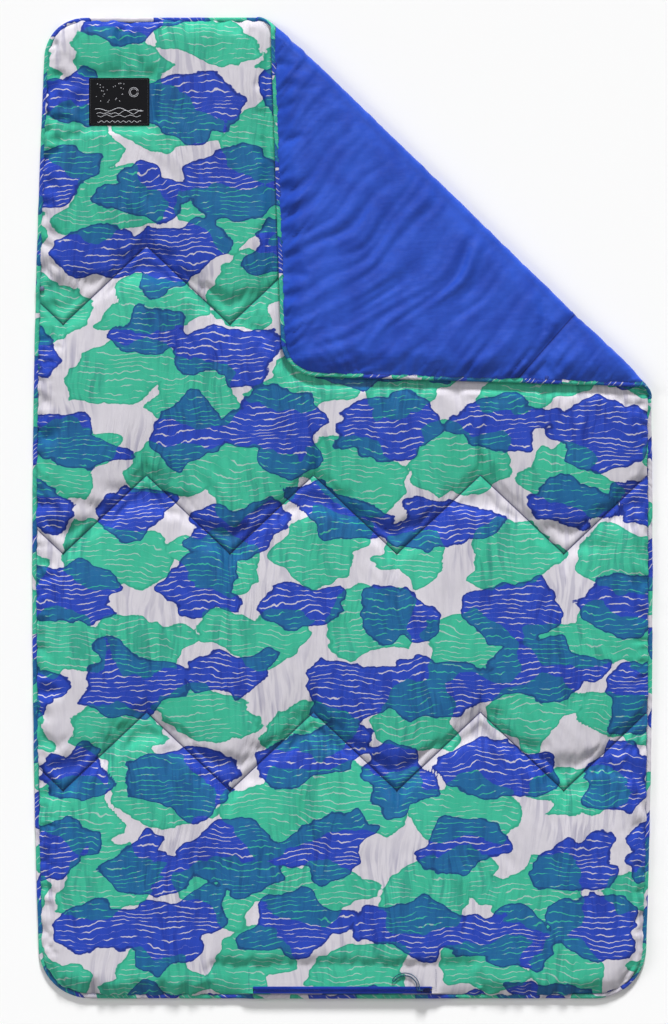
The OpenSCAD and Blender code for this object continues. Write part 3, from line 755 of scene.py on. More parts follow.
class Shader:
    """A material, with short calls for building its node tree."""

    def __init__(self, name):
        self.material = bpy.data.materials.new(name)
        self.material.use_nodes = True
        self.tree = self.material.node_tree
        self.tree.nodes.clear()
        output = self.node("OutputMaterial")
        self.surface = self.node("BsdfPrincipled")
        self.put(output.inputs["Surface"], self.surface.outputs[0])

    def node(self, kind, *values, **settings):
        node = self.tree.nodes.new("ShaderNode" + kind)
        for key, value in settings.items():
            setattr(node, key, value)
        for socket, value in zip(node.inputs, values):
            self.put(socket, value)
        return node

    def put(self, socket, value):
        if isinstance(value, bpy.types.NodeSocket):
            self.tree.links.new(value, socket)
        else:
            socket.default_value = value

    def set(self, **values):
        for key, value in values.items():
            self.put(self.surface.inputs[key.replace("_", " ")], value)

    def math(self, operation, a, b=0.0, c=0.0):
        return self.node("Math", a, b, c, operation=operation).outputs[0]

    def add(self, a, b):
        return self.math("ADD", a, b)

    def sub(self, a, b):
        return self.math("SUBTRACT", a, b)

    def mul(self, a, b):
        return self.math("MULTIPLY", a, b)

    def sine(self, x, pitch):
        return self.math("SINE", self.mul(x, 2 * PI / pitch))

    def attr(self, name, output="Fac"):
        return self.node("Attribute", attribute_name=name).outputs[output]

    def to_mm(self, vector):
        node = self.node("VectorMath", vector, operation="SCALE")
        node.inputs["Scale"].default_value = 1000.0
        return node.outputs[0]

    def object_mm(self):
        return self.to_mm(self.node("TexCoord").outputs["Object"])

    def flat_mm(self):
        return self.to_mm(self.attr("flat", "Vector"))

    def xyz(self, vector):
        return self.node("SeparateXYZ", vector).outputs

    def vec(self, x, y, z=0.0):
        return self.node("CombineXYZ", x, y, z).outputs[0]

    def noise(self, vector, scale=1.0, detail=2.0, rough=0.5, distortion=0.0):
        node = self.node("TexNoise", vector, noise_dimensions="3D")
        for key, value in (("Scale", scale), ("Detail", detail), ("Roughness", rough),
                           ("Distortion", distortion)):
            self.put(node.inputs[key], value)
        return node.outputs[0]

    def patches(self, x, y, width, height, seed=0.0, detail=1.0, rough=0.5):
        """Noise with patches of the given size in mm; seed is its third coordinate."""
        place = self.vec(self.mul(x, 1 / width), self.mul(y, 1 / height), seed)
        return self.noise(place, detail=detail, rough=rough)

    def mix(self, factor, a, b, blend="MIX"):
        node = self.node("Mix", factor, data_type="RGBA", blend_type=blend)
        self.put(node.inputs[6], a)
        self.put(node.inputs[7], b)
        return node.outputs[2]

    def range(self, value, from_min, from_max, to_min=0.0, to_max=1.0):
        return self.node("MapRange", value, from_min, from_max, to_min, to_max,
                         interpolation_type="SMOOTHSTEP").outputs[0]

    def bump(self, height, strength, distance, normal=None):
        node = self.node("Bump")
        self.put(node.inputs["Height"], height)
        self.put(node.inputs["Strength"], strength)
        self.put(node.inputs["Distance"], distance)
        if normal is not None:
            self.put(node.inputs["Normal"], normal)
        return node.outputs[0]

    def darken(self, colour, amount, blue):
        """Darkens by amount, and the blue channel by only that share of it."""
        rest = self.sub(1.0, amount)
        tint = self.vec(rest, rest, self.math("MULTIPLY_ADD", amount, -blue, 1.0))
        return self.mix(1.0, colour, tint, "MULTIPLY")

    def swayed(self, x, y):
        """x, bent sideways so that upright streaks don't run straight."""
        return self.add(x, self.mul(self.patches(x, y, 90.0, 120.0, seed=7.0), 40.0))


def seam_shadow(t, colour):
    """A thin dark line where the cloth dives into a seam, and a faint wider one."""
    away = t.math("ABSOLUTE", t.attr("seam_sd"))
    dark = t.add(t.range(away, 0.5, 1.7, 0.50, 0.0), t.range(away, 0.0, 9.0, 0.16, 0.0))
    return t.darken(colour, dark, blue=0.85)


def cloth_finish(t, x, y, place, rough=0.5, crinkle=0.35, upright=0.7, specular=0.22):
    """Relief and gloss of taffeta: upright folds, crinkles, grain and a plain weave."""
    weave_pitch = 0.62
    warp, weft = t.sine(x, weave_pitch), t.sine(y, weave_pitch)
    weave = t.math("MULTIPLY_ADD", t.mul(warp, weft), 0.5, 0.5)
    bands = t.patches(t.swayed(x, y), y, 7.5, 85.0, detail=2.0, rough=0.45)
    patchy = t.range(t.patches(x, y, 140.0, 170.0, seed=4.0), 0.35, 0.65, 0.25, 1.0)
    crinkles = t.patches(x, y, 1 / 0.11, 1 / 0.05, seed=9.0, detail=3.0, rough=0.55)
    grain = t.noise(place, scale=0.9)
    normal = t.bump(t.mul(bands, patchy), strength=upright, distance=0.0030)
    normal = t.bump(crinkles, strength=crinkle, distance=0.0016, normal=normal)
    normal = t.bump(grain, strength=0.12, distance=0.0003, normal=normal)
    normal = t.bump(weave, strength=0.22, distance=0.00006, normal=normal)
    t.set(Normal=normal, Roughness=t.range(crinkles, 0.3, 0.75, rough - 0.05, rough + 0.08),
          Sheen_Weight=0.05, Sheen_Roughness=0.5, Specular_IOR_Level=specular)


def ink_masks(t, x, y, attr, seed, tilt, pitch):
    """Where an ink lies, its darker rim, and broken hand-drawn lines left free of it."""
    ragged = t.patches(x, y, 24.0, 20.0, seed=seed, detail=2.0)
    edge = t.add(t.attr(attr), t.mul(t.sub(ragged, 0.5), 15.0))
    mask = t.range(edge, -0.4, 0.4, 1.0, 0.0)
    rim = t.mul(t.range(edge, -3.4, -1.6), mask)
    big = t.patches(x, y, 85.0, 60.0, seed=seed + 7, rough=0.4)
    small = t.patches(x, y, 12.5, 30.0, seed=seed + 11, detail=1.5)
    line_y = t.add(t.add(y, t.mul(big, 46.0)), t.mul(small, 9.0))
    line_y = t.add(line_y, t.mul(x, tilt))
    count = t.math("DIVIDE", line_y, pitch)
    row = t.math("FLOOR", count)
    off = t.math("ABSOLUTE", t.sub(t.sub(count, row), 0.5))
    place = t.vec(t.add(t.mul(x, 1 / 24.0), t.mul(row, 5.37)), t.mul(row, 3.17), seed + 19)
    gate = t.noise(place, detail=0.5)
    half = t.mul(t.range(gate, 0.38, 0.56), 0.078)
    line = t.range(t.sub(half, off), -0.02, 0.02)
    return mask, rim, t.mul(line, t.range(edge, -6.5, -3.5, 1.0, 0.0))


def printed_material(name):
    """Green and blue ink on a pale ground, teal where the inks overlap."""
    t = Shader(name)
    place = t.flat_mm()
    x, y, _ = t.xyz(place)
    green_mask, green_rim, green_line = ink_masks(t, x, y, "ink_a", 1.3, tilt=0.02, pitch=9.6)
    blue_mask, blue_rim, blue_line = ink_masks(t, x, y, "ink_b", 33.7, tilt=-0.03, pitch=9.8)
    shade = t.patches(x, y, 45.0, 45.0, seed=3.0, detail=2.0)

    def ink(dark, light, rim, rim_strength, rim_colour):
        return t.mix(t.mul(rim, rim_strength), t.mix(shade, dark, light), rim_colour)

    ground = t.mix(shade, srgb(201, 197, 205), srgb(212, 208, 216))
    green = ink(srgb(49, 170, 136), srgb(67, 190, 157), green_rim, 0.45, srgb(30, 135, 110))
    blue = ink(srgb(34, 60, 166), srgb(41, 74, 188), blue_rim, 0.6, srgb(18, 32, 104))
    teal = ink(srgb(22, 84, 142), srgb(34, 110, 158), blue_rim, 0.6, srgb(14, 52, 104))
    in_green = t.mul(green_mask, t.sub(1.0, t.mul(green_line, 0.5)))
    low = t.mix(in_green, ground, green)
    high = t.mix(green_mask, blue, teal)
    in_blue = t.mul(blue_mask, t.sub(1.0, t.mul(blue_line, 0.90)))
    colour = t.mix(in_blue, low, high)

    # painted shade of soft upright wrinkles: darker streaks, wide and narrow, in patches
    swayed = t.swayed(x, y)
    wide = t.patches(swayed, y, 11.0, 95.0, seed=2.0, rough=0.4)
    narrow = t.patches(swayed, y, 4.5, 60.0, seed=6.0, rough=0.4)
    where = t.range(t.patches(x, y, 120.0, 150.0, seed=4.0), 0.38, 0.62, 0.2, 1.0)
    narrow = t.mul(t.range(narrow, 0.5, 0.66), 0.13)
    streaks = t.mul(t.math("MULTIPLY_ADD", t.range(wide, 0.50, 0.60), 0.24, narrow), where)
    t.set(Base_Color=seam_shadow(t, t.darken(colour, streaks, blue=0.75)))
    cloth_finish(t, x, y, place)
    return t.material


def plain_cloth(name, dark, light, on_quilt=False, rough=0.46, upright=0.08, **finish):
    """One-coloured cloth. On the quilt it follows the flat pattern and gets painted shade in the seam
    creases.
    """
    t = Shader(name)
    place = t.flat_mm() if on_quilt else t.object_mm()
    x, y, _ = t.xyz(place)
    shade = t.patches(x, y, 60.0, 60.0, seed=1.0, detail=3.0, rough=0.55)
    slub = t.patches(x, y, 9.0, 1 / 2.2, seed=1.0, detail=2.0)
    base = t.mix(t.range(shade, 0.3, 0.7), dark, light)
    colour = t.mix(t.mul(slub, 0.12), base, dark)
    t.set(Base_Color=seam_shadow(t, colour) if on_quilt else colour)
    cloth_finish(t, x, y, place, rough=rough, upright=upright, **finish)
    return t.material


def thread_material(name, light, dark, pitch=0.5):
    t = Shader(name)
    place = t.object_mm()
    x, y, z = t.xyz(place)
    twist = t.sine(t.add(t.add(x, y), t.mul(z, 1.7)), pitch)
    fuzz = t.noise(place, scale=0.8)
    t.set(Base_Color=t.mix(t.range(twist, -1.0, 1.0), dark, light),
          Roughness=t.range(fuzz, 0.3, 0.7, 0.5, 0.7),
          Normal=t.bump(twist, strength=0.35, distance=0.0001), Sheen_Weight=0.25)
    return t.material


def batting_material():
    t = Shader("batting")
    place = t.object_mm()
    clumps = t.noise(place, scale=0.25, detail=6.0, rough=0.65, distortion=1.2)
    fibres = t.noise(place, scale=1.6, detail=4.0, rough=0.6, distortion=0.8)
    t.set(Base_Color=t.mix(clumps, srgb(226, 226, 222), srgb(250, 250, 247)), Roughness=0.95,
          Normal=t.bump(fibres, strength=0.6, distance=0.0008), Sheen_Weight=0.4)
    return t.material


def paint_material(name, colour, worn, rough, metallic):
    t = Shader(name)
    place = t.object_mm()
    flecks = t.noise(place, scale=0.5, detail=4.0, rough=0.6)
    grain = t.noise(place, scale=3.5, detail=3.0, rough=0.6)
    wear = t.range(flecks, 0.56, 0.72)
    t.set(Base_Color=t.mix(t.mul(wear, 0.55), colour, worn),
          Metallic=t.range(flecks, 0.3, 0.7, metallic * 0.8, metallic),
          Roughness=t.range(grain, 0.3, 0.7, rough - 0.07, rough + 0.12),
          Normal=t.bump(grain, strength=0.15, distance=0.00008))
    return t.material


def braid_material():
    t = Shader("cord_braid")
    x, y, _ = t.xyz(t.attr("flat", "Vector"))
    twist = t.sine(t.add(x, y), pitch=1.0)
    fuzz = t.noise(t.object_mm(), scale=1.2)
    t.set(Base_Color=t.mix(t.range(twist, -0.2, 0.9), srgb(14, 52, 92), srgb(24, 96, 120)),
          Roughness=t.range(fuzz, 0.3, 0.7, 0.5, 0.68),
          Normal=t.bump(twist, strength=0.4, distance=0.0001), Sheen_Weight=0.2)
    return t.material


def label_material():
    t = Shader("label_weave")
    place = t.object_mm()
    x, y, _ = t.xyz(place)
    ribs = t.mul(t.sine(y, pitch=0.9), t.sine(x, pitch=0.7))
    mottle = t.noise(place, scale=0.35, detail=3.0, rough=0.6)
    t.set(Base_Color=t.mix(mottle, srgb(9, 9, 12), srgb(20, 21, 26)),
          Roughness=t.range(mottle, 0.3, 0.7, 0.62, 0.78),
          Normal=t.bump(ribs, strength=0.35, distance=0.00012),
          Sheen_Weight=0.03, Specular_IOR_Level=0.2)
    return t.material


PRINT = printed_material("printed_taffeta")
LINING = plain_cloth("royal_blue_taffeta", srgb(31, 66, 170), srgb(43, 84, 196), on_quilt=True,
                     rough=0.48, crinkle=0.25, upright=0.12, specular=0.26)
BAG = plain_cloth("pocket_mesh_taffeta", srgb(30, 56, 150), srgb(42, 72, 172))
BATTING = batting_material()
QUILT_THREAD = thread_material("quilting_thread", srgb(34, 58, 140), srgb(14, 24, 70))
PIPING_THREAD = thread_material("binding_thread", srgb(40, 74, 150), srgb(18, 34, 88))
LABEL_THREAD = thread_material("label_thread", srgb(70, 72, 80), srgb(30, 31, 36))
TAPE = plain_cloth("zip_tape_weave", srgb(20, 44, 140), srgb(30, 60, 165),
                   rough=0.6, crinkle=0.1)
COIL = paint_material("zip_coil_nylon", srgb(20, 48, 146), srgb(12, 26, 92),
                      rough=0.42, metallic=0.0)
SLIDER = paint_material("zip_slider_paint", srgb(22, 30, 78), srgb(58, 66, 110),
                        rough=0.33, metallic=0.55)
BRAID = braid_material()
FILLER = batting_material()
LABEL = label_material()
LABEL_ART = thread_material("label_art_thread", srgb(232, 232, 236), srgb(176, 178, 188),
                            pitch=0.6)
SNAP_PAINT = paint_material("snap_slate_enamel", srgb(98, 108, 138), srgb(140, 146, 166),
                            rough=0.36, metallic=0.45)
RIVET_PAINT = paint_material("snap_blue_enamel", srgb(38, 66, 160), srgb(62, 88, 178),
                             rough=0.40, metallic=0.3)


# ---------------------------------------------------------------- cutting at the fold
def bisect_at_fold(bm):
    """Cuts away what lies beyond the line where the roll starts."""
    out_x, out_y = FOLD_OUT
    line = Vector((out_x * FOLD_START * MM, out_y * FOLD_START * MM, 0))
    bmesh.ops.bisect_plane(bm, geom=bm.verts[:] + bm.edges[:] + bm.faces[:], plane_co=line,
                           plane_no=Vector((out_x, out_y, 0)), dist=1e-6, clear_outer=True)


def fill_open_end(bm):
    bmesh.ops.edgeloop_fill(bm, edges=[e for e in bm.edges if e.is_boundary])
    bmesh.ops.triangulate(bm, faces=[f for f in bm.faces if len(f.verts) > 4])


def cut_at_fold(ob):
    with editing(ob) as bm:
        bisect_at_fold(bm)
        fill_open_end(bm)


def pull_in(x, y, inset_of):
    """Draws the rim of the batting in, clear of the piping's seam."""
    inset = inset_of(x, y)
    gx = inset_of(x + 0.5, y) - inset_of(x - 0.5, y)
    gy = inset_of(x, y + 0.5) - inset_of(x, y - 0.5)
    n = np.maximum(np.hypot(gx, gy), 1e-6)
    # insets from INSET to 36 are squeezed into 18 to 36
    far = np.where(inset < 36, 18.0 + (inset - INSET) * (18.0 / (36 - INSET)) - inset, 0.0)
    return x + far * gx / n, y + far * gy / n


# ---------------------------------------------------------------- the flat part
def puff_main(x, y, seam_rows):
    """How far the simulation moves each point of the flat part's face."""
    xs, ys, rest = x[::2, ::2], y[::2, ::2], main_layers(x, y, wrinkles=0.25)[0][::2, ::2]
    pin = np.zeros(xs.shape, bool)
    pin[0] = pin[-1] = pin[:, 0] = pin[:, -1] = True
    for row in seam_rows:
        pin[row // 2 - 1:row // 2 + 2] = True
    pin |= (flap_inset(xs, ys) > -12) | (across_fold(xs, ys) > FOLD_START - 6)
    pin |= (np.abs(xs) < 236) & (ys < -828)
    pin |= ((xs > LABEL_LOW[0] - 4) & (xs < LABEL_HIGH[0] + 4)
            & (ys > LABEL_LOW[1] - 4) & (ys < LABEL_HIGH[1] + 4))
    pin |= np.hypot(xs - SNAP[0], ys - SNAP[1]) < 12
    moved = upsample(simulate(xs, ys, rest, pin, grow=0.03, most=4.5))
    free = ((1 - ease((flap_inset(x, y) + 26) / 14)) * ease(seam_info(x, y)[0] / 20)
            * (1 - label_zone(x, y)))
    return moved * free[..., None]


def cloth_layer(name, x, y, outer, inner, flat, material):
    """A closed thin sheet: a fine outer surface and a coarser inner one, cut at the fold."""
    up = inner.mean() < outer.mean()
    fine = np.stack([x, y, outer], -1)
    coarse = np.stack([fine[::2, ::2, 0], fine[::2, ::2, 1], inner], -1)
    long, short = rim_index(*x.shape), rim_index(*inner.shape, x.size)
    a0, a1, a2 = long[::2], long[1::2], np.roll(long[::2], -1)
    b0, b1 = short, np.roll(short, -1)
    turn = 1 if up else -1
    quads = np.stack([a1, b0, b1, a2], 1)[:, ::turn]
    tris = np.stack([a0, b0, a1], 1)[:, ::turn]
    faces = [grid_faces(*x.shape, 0, not up), grid_faces(*inner.shape, x.size, up), quads, tris]
    co = np.concatenate([fine.reshape(-1, 3), coarse.reshape(-1, 3)])
    flat = np.concatenate([points(*[a[::k, ::k] for a in flat]) for k in (1, 2)]) * MM
    ob = make_mesh(name, co, faces, flat)
    cut_at_fold(ob)
    place = read_mm(ob, "flat")
    if material == PRINT:
        add_ink(ob, place[:, 0], place[:, 1])
    set_attr(ob, "seam_sd", seam_signed(place[:, 0], place[:, 1]))
    slots(ob, material)
    return ob


def main_batting(x, y, face, lining, inner_face, inner_lining):
    """The padding between face and lining, thinned over the pocket's bag."""
    xc, yc = x[::2, ::2], y[::2, ::2]
    mid = (inner_face + inner_lining) / 2
    bag = ease((176 - np.abs(xc)) / 5) * ease((-651 - yc) / 5)
    top = np.maximum(np.maximum(inner_face, mid) - 0.35 - 2.4 * bag, mid + 0.12)
    low = np.minimum(np.minimum(inner_lining, mid) + 0.35, top - 0.2)
    low = np.clip(low, lining[::2, ::2] + 0.55, face[::2, ::2] - 0.85)
    top = np.clip(top, low + 0.15, face[::2, ::2] - 0.60)
    ob = slab("batting_sheet", *pull_in(xc, yc, edge_inset), top, low)
    cut_at_fold(ob)
    slots(ob, BATTING)
    return ob


def build_main():
    x, y, seam_rows = main_grid()
    face, lining, mid = main_layers(x, y)
    face_x, face_y = x, y
    moved = puff_main(x, y, seam_rows)
    face_x, face_y, face = x + moved[..., 0], y + moved[..., 1], face + moved[..., 2]
    inner_face = neighbourhood(face, np.minimum)[::2, ::2] - 0.45
    inner_lining = neighbourhood(lining, np.maximum)[::2, ::2] + 0.45
    mid = mid[::2, ::2]
    flat = (x, y, 0 * x)
    face_ob = cloth_layer("printed_face", face_x, face_y, face,
                          np.maximum(inner_face, mid + 0.15), flat, PRINT)
    lining_ob = cloth_layer("blue_lining", x, y, lining,
                            np.minimum(inner_lining, mid - 0.15), flat, LINING)
    batting_ob = main_batting(x, y, face, lining, inner_face, inner_lining)
    register(face_ob, ("face_foot", "face_head"))
    register(lining_ob, ("lining_foot", "lining_head"))
    register(batting_ob, ("insulation_foot", "insulation_head"))


build_main()

# ---------------------------------------------------------------- the corner: flap and roll
FLAP_X, FLAP_Y = flap_grid()
FLAP_TOP, FLAP_LOW, _, FLAP_SNAP = flap_layers(FLAP_X, FLAP_Y)


def puff_flap():
    """How far the simulation lifts each point of the flap's lining."""
    from_roll = FOLD_START - across_fold(FLAP_X, FLAP_Y)
    open_x, open_y = opened(FLAP_X, FLAP_Y)
    seam = seam_info(open_x, open_y)[0]
    has_seam = open_y > FLAP_SEAM_Y
    pin = (from_roll < 3) | ((seam < 2.6) & has_seam) | (FLAP_SNAP > 0.6)
    pin[0] = pin[:, 0] = pin[-1] = pin[:, -1] = True
    rest = flap_layers(FLAP_X, FLAP_Y, wrinkles=0.35)[0]
    moved = simulate(FLAP_X, FLAP_Y, rest, pin, grow=0.02, most=3.5)
    return moved[..., 2] * (ease(from_roll / 30) * np.where(has_seam, ease(seam / 20), 1.0))


FLAP_TOP = FLAP_TOP + puff_flap()


def on_fold(vert):
    return abs(across_fold(vert.co.x, vert.co.y) - FOLD_START * MM) < 1e-6


def thicken(bm, flat, bend):
    """Adds the same sheet again, 0.5 mm further in, joined at the rim."""
    sheet = list(bm.verts)
    bm.verts.index_update()
    inner = [v.co - v.normal * 0.0005 for v in sheet]
    twin = []
    for v, co in zip(sheet, inner):
        w = bm.verts.new(co)
        w[flat] = v[flat]
        w[bend] = v[bend]
        twin.append(w)
    rim = [(e, e.link_faces[0]) for e in bm.edges if e.is_boundary]
    for f in list(bm.faces):
        bm.faces.new([twin[v.index] for v in reversed(f.verts)])
    for edge, f in rim:
        loop = next(l for l in f.loops if l.edge == edge)
        p0, p1 = loop.vert.index, loop.link_loop_next.vert.index
        bm.faces.new([sheet[p1], sheet[p0], twin[p0], twin[p1]])


def corner_sheet(name, z, outward, material):
    """The flap's grid, cut where the roll starts, then carried round it to the flat part.
    outward: the lining, on the roll's outside."""
    ob = make_mesh(name, points(FLAP_X, FLAP_Y, z),
                   [grid_faces(*FLAP_X.shape, 0, not outward)])
    with editing(ob) as bm:
        flat = bm.verts.layers.float_vector.new("flat")
        bend = bm.verts.layers.float.new("bend")

        def mark(vert, along, across, turn):
            vert[flat] = Vector((*from_fold(along, across), 0)) * MM
            vert[bend] = turn

        bisect_at_fold(bm)
        bmesh.ops.remove_doubles(bm, verts=[v for v in bm.verts if on_fold(v)], dist=0.0006)
        start = [v for v in bm.verts if on_fold(v)]
        start.sort(key=lambda v: along_fold(v.co.x, v.co.y))
        a = np.array([along_fold(v.co.x, v.co.y) for v in start]) * 1000
        top_z = np.array([v.co.z for v in start]) * 1000
        foot = roll_foot(a)
        flap_mid = flap_layers(*from_fold(a, FOLD_START))[2]
        face, lining, mid = main_layers(*from_fold(foot, FOLD_START))
        foot_z = lining if outward else face
        top_half, foot_half = np.abs(top_z - flap_mid), np.abs(foot_z - mid)
        centre_z, radius = (flap_mid + mid) / 2, (flap_mid - mid) / 2
        for v in bm.verts:
            x, y = v.co.x * 1000, v.co.y * 1000
            across = FOLD_START + ROLL_LENGTH + (FOLD_START - across_fold(x, y))
            mark(v, float(roll_foot(along_fold(x, y))), across, 1.0)
        from_ends = ease(np.minimum(a - a[0], a[-1] - a) / 25)
        dent = np.exp(-((a - ROLL_DENT) / 10.0) ** 2)
        previous = start
        for k in range(1, ROLL_STEPS + 1):
            t = k / ROLL_STEPS
            theta = PI * (1 - t)
            half = mix(top_half, foot_half, t)
            if outward:
                wrinkle = (0.55 * noise(a / 19, 3.3 + 0 * a, seed=81)
                           + 0.35 * noise(a / 9, 5.1 + theta * 0.6 + 0 * a, seed=82))
                r = radius + half + math.sin(theta) * wrinkle * from_ends
            else:
                r = np.maximum(radius - half, 0.9)
            r = r - 2.0 * math.sin(theta) * dent * (1.0 if outward else 0.4)
            across, row_z = FOLD_START + r * math.sin(theta), centre_z - r * math.cos(theta)
            if k == ROLL_STEPS:
                across, row_z = FOLD_START + 0 * a, foot_z
            row_x, row_y = from_fold(mix(a, foot, ease(t)), across)
            row = []
            for place, along in zip(zip(row_x * MM, row_y * MM, row_z * MM), foot):
                v = bm.verts.new(place)
                mark(v, along, FOLD_START + ROLL_LENGTH * (theta / PI), theta / PI)
                row.append(v)
            for q in range(len(a) - 1):
                f = [previous[q], previous[q + 1], row[q + 1], row[q]]
                bm.faces.new(f if outward else f[::-1])
            previous = row
        bmesh.ops.recalc_face_normals(bm, faces=bm.faces[:])
        bm.normal_update()
        # the flap's part must face up for the lining and down for the face
        centres = [(f, f.calc_center_median()) for f in bm.faces]
        up = sum(f.normal.z * f.calc_area() for f, c in centres if across_fold(c.x, c.y) < 0.5)
        if (up > 0) != outward:
            bmesh.ops.reverse_faces(bm, faces=bm.faces[:])
            bm.normal_update()
        thicken(bm, flat, bend)
        for f in bm.faces:
            f.smooth = True

    if material == PRINT:
        place = read_mm(ob, "flat")
        add_ink(ob, place[:, 0], place[:, 1])
    place, turn = read_mm(ob), read_bend(ob)
    x, y = place[:, 0], place[:, 1]
    on_flap = turn > 0.999
    rolled = from_fold(along_fold(x, y), FOLD_START + 14 * turn)
    open_x, open_y = [np.where(on_flap, a, b) for a, b in zip(opened(x, y), rolled)]
    seam = np.where(open_y < FLAP_SEAM_Y, 25.0, seam_signed(open_x, open_y))
    set_attr(ob, "seam_sd", seam)
    slots(ob, material)
    return ob


def corner_batting():
    """The corner's padding: a closed pad on the flap, and a ring section round the roll."""
    top, low = FLAP_TOP - 1.3, FLAP_LOW + 1.3
    mid = (top + low) / 2
    top, low = np.maximum(top, mid + 0.1), np.minimum(low, mid - 0.1)
    x, y = pull_in(FLAP_X, FLAP_Y, flap_inset)
    rim_top = np.maximum(np.minimum(top, flap_layers(x, y)[0] - 1.6), low + 0.1)
    top = np.where(flap_inset(FLAP_X, FLAP_Y) < 36, rim_top, top)
    ob = slab("batting_corner", x, y, top, low)
    with editing(ob) as bm:
        bend = bm.verts.layers.float.new("bend")
        bisect_at_fold(bm)
        edges = [e for e in bm.edges if e.is_boundary]
        start = {v for e in edges for v in e.verts}
        for v in bm.verts:
            v[bend] = 1.0
        section = {}
        for v in start:
            a = along_fold(v.co.x * 1000, v.co.y * 1000)
            foot = float(roll_foot(a))
            lining, face, flap_mid = [float(z[0]) for z in flap_layers(
                *np.array(from_fold(a, FOLD_START))[:, None])[:3]]
            foot_face, foot_lining, foot_mid = [float(z[0]) for z in main_layers(
                *np.array(from_fold(foot, FOLD_START))[:, None])]
            off = v.co.z * 1000 - flap_mid
            room = ((lining - flap_mid, foot_mid - foot_lining) if off > 0
                    else (flap_mid - face, foot_face - foot_mid))
            centre_z, radius = (flap_mid + foot_mid) / 2, (flap_mid - foot_mid) / 2
            section[v] = a, foot, off, centre_z, radius, room
        previous = {v: v for v in start}
        for k in range(1, ROLL_STEPS + 1):
            t = k / ROLL_STEPS
            theta = PI * (1 - t)
            row = {}
            for v in start:
                a, foot, off, centre_z, radius, room = section[v]
                along = mix(a, foot, float(ease(t)))
                dent = math.exp(-((along - ROLL_DENT) / 14.0) ** 2)
                dip = math.sin(theta) * (1.0 + 2.0 * dent)
                most = max(mix(room[0], room[1], t) - 1.3 - dip, 0.05)
                r = max(radius + max(-most, min(most, off)), 0.8)
                x, y = from_fold(along, FOLD_START + r * math.sin(theta))
                w = bm.verts.new((x * MM, y * MM, (centre_z - r * math.cos(theta)) * MM))
                w[bend] = theta / PI
                row[v] = w
            for e in edges:
                v0, v1 = e.verts
                bm.faces.new([previous[v0], previous[v1], row[v1], row[v0]])
            previous = row
        fill_open_end(bm)
        bmesh.ops.recalc_face_normals(bm, faces=bm.faces[:])
        for f in bm.faces:
            f.smooth = True
    slots(ob, BATTING)
    return ob


corner_lining = corner_sheet("blue_lining_corner", FLAP_TOP, True, LINING)
corner_face = corner_sheet("printed_face_corner", FLAP_LOW, False, PRINT)
for ob, node, slot in ((corner_lining, "lining_corner", "lining"),
                       (corner_face, "face_corner", "printed_face"),
                       (corner_batting(), "insulation_corner", "insulation")):
    register(ob, (node,), bend=read_bend(ob))


# ---------------------------------------------------------------- piping
PATH_STEP = 3.6
RAIL_INSET = 4.5        # where the middle height of the piping is taken

# distance in from the edge, height above the middle
PIPING_PROFILE = np.array([
    (0.05, 0.0), (0.35, 1.3), (1.1, 2.3), (2.4, 2.95), (4.0, 3.1), (5.6, 2.95), (7.2, 2.6),
    (8.6, 2.15), (9.45, 1.7), (9.5, 1.0), (9.5, -1.0), (9.45, -1.7), (8.6, -2.15), (7.2, -2.6),
    (5.6, -2.95), (4.0, -3.1), (2.4, -2.95), (1.1, -2.3), (0.35, -1.3)])
FILLER_PROFILE = np.array([(2.9 + 1.05 * math.cos(2 * PI * k / 8), 1.05 * math.sin(2 * PI * k / 8))
                           for k in range(8)])


def arc(cx, cy, radius, start, end, step=3.5):
    n = int(math.radians(end - start) * radius / step)
    angles = [math.radians(start + (end - start) * i / n) for i in range(n + 1)]
    return [(cx + radius * math.cos(a), cy + radius * math.sin(a)) for a in angles]


def main_outline():
    """The flat edge, from the fold's end at the head anticlockwise to its end at the side."""
    head_y, foot_y = HALF_LENGTH - HEAD_RADIUS, -HALF_LENGTH + FOOT_RADIUS
    head_x, foot_x = side(head_y) - HEAD_RADIUS, side(foot_y) - FOOT_RADIUS
    path = [(x, HALF_LENGTH) for x in np.linspace(FOLD_HEAD_END[0], -head_x, 60)]
    path += arc(-head_x, head_y, HEAD_RADIUS, 90, 180)[1:]
    path += [(-side(y), y) for y in np.linspace(head_y - 3, foot_y + 3, 400)]
    path += arc(-foot_x, foot_y, FOOT_RADIUS, 180, 270)
    path += [(x, -HALF_LENGTH) for x in np.linspace(-foot_x + 4, foot_x - 4, 250)]
    path += arc(foot_x, foot_y, FOOT_RADIUS, 270, 360)
    path += [(side(y), y) for y in np.linspace(foot_y + 3, FOLD_SIDE_END[1], 300)]
    return resample(path, PATH_STEP)


def flap_outline():
    """The flap's free edge, from the fold's end at the head to its end at the side."""
    def at(up, right):
        return tuple(FLAP_CORNER + up * FLAP_UP + right * FLAP_RIGHT)

    r, steps = FLAP_RADIUS, 28
    path = [at(up, 0) for up in np.linspace(631.9, r + 3, 150)]
    for i in range(steps + 1):
        f = PI / 2 * i / steps
        path.append(at(r - r * math.sin(f), r - r * math.cos(f)))
    path += [at(0, right) for right in np.linspace(r + 3, 653.9, 150)]
    return resample(path, PATH_STEP)[0]


def edge_rail(path, layers, up):
    """Origins, inward directions and up directions along an edge."""
    ahead = unit(np.gradient(path, axis=0))
    inward = np.stack([-ahead[:, 1], ahead[:, 0]], 1)
    near = path + inward * RAIL_INSET
    mid = layers(near[:, 0], near[:, 1])[2]
    return (np.column_stack([path, mid]), np.column_stack([inward, np.zeros(len(path))]),
            np.tile([0.0, 0.0, up], (len(path), 1)))


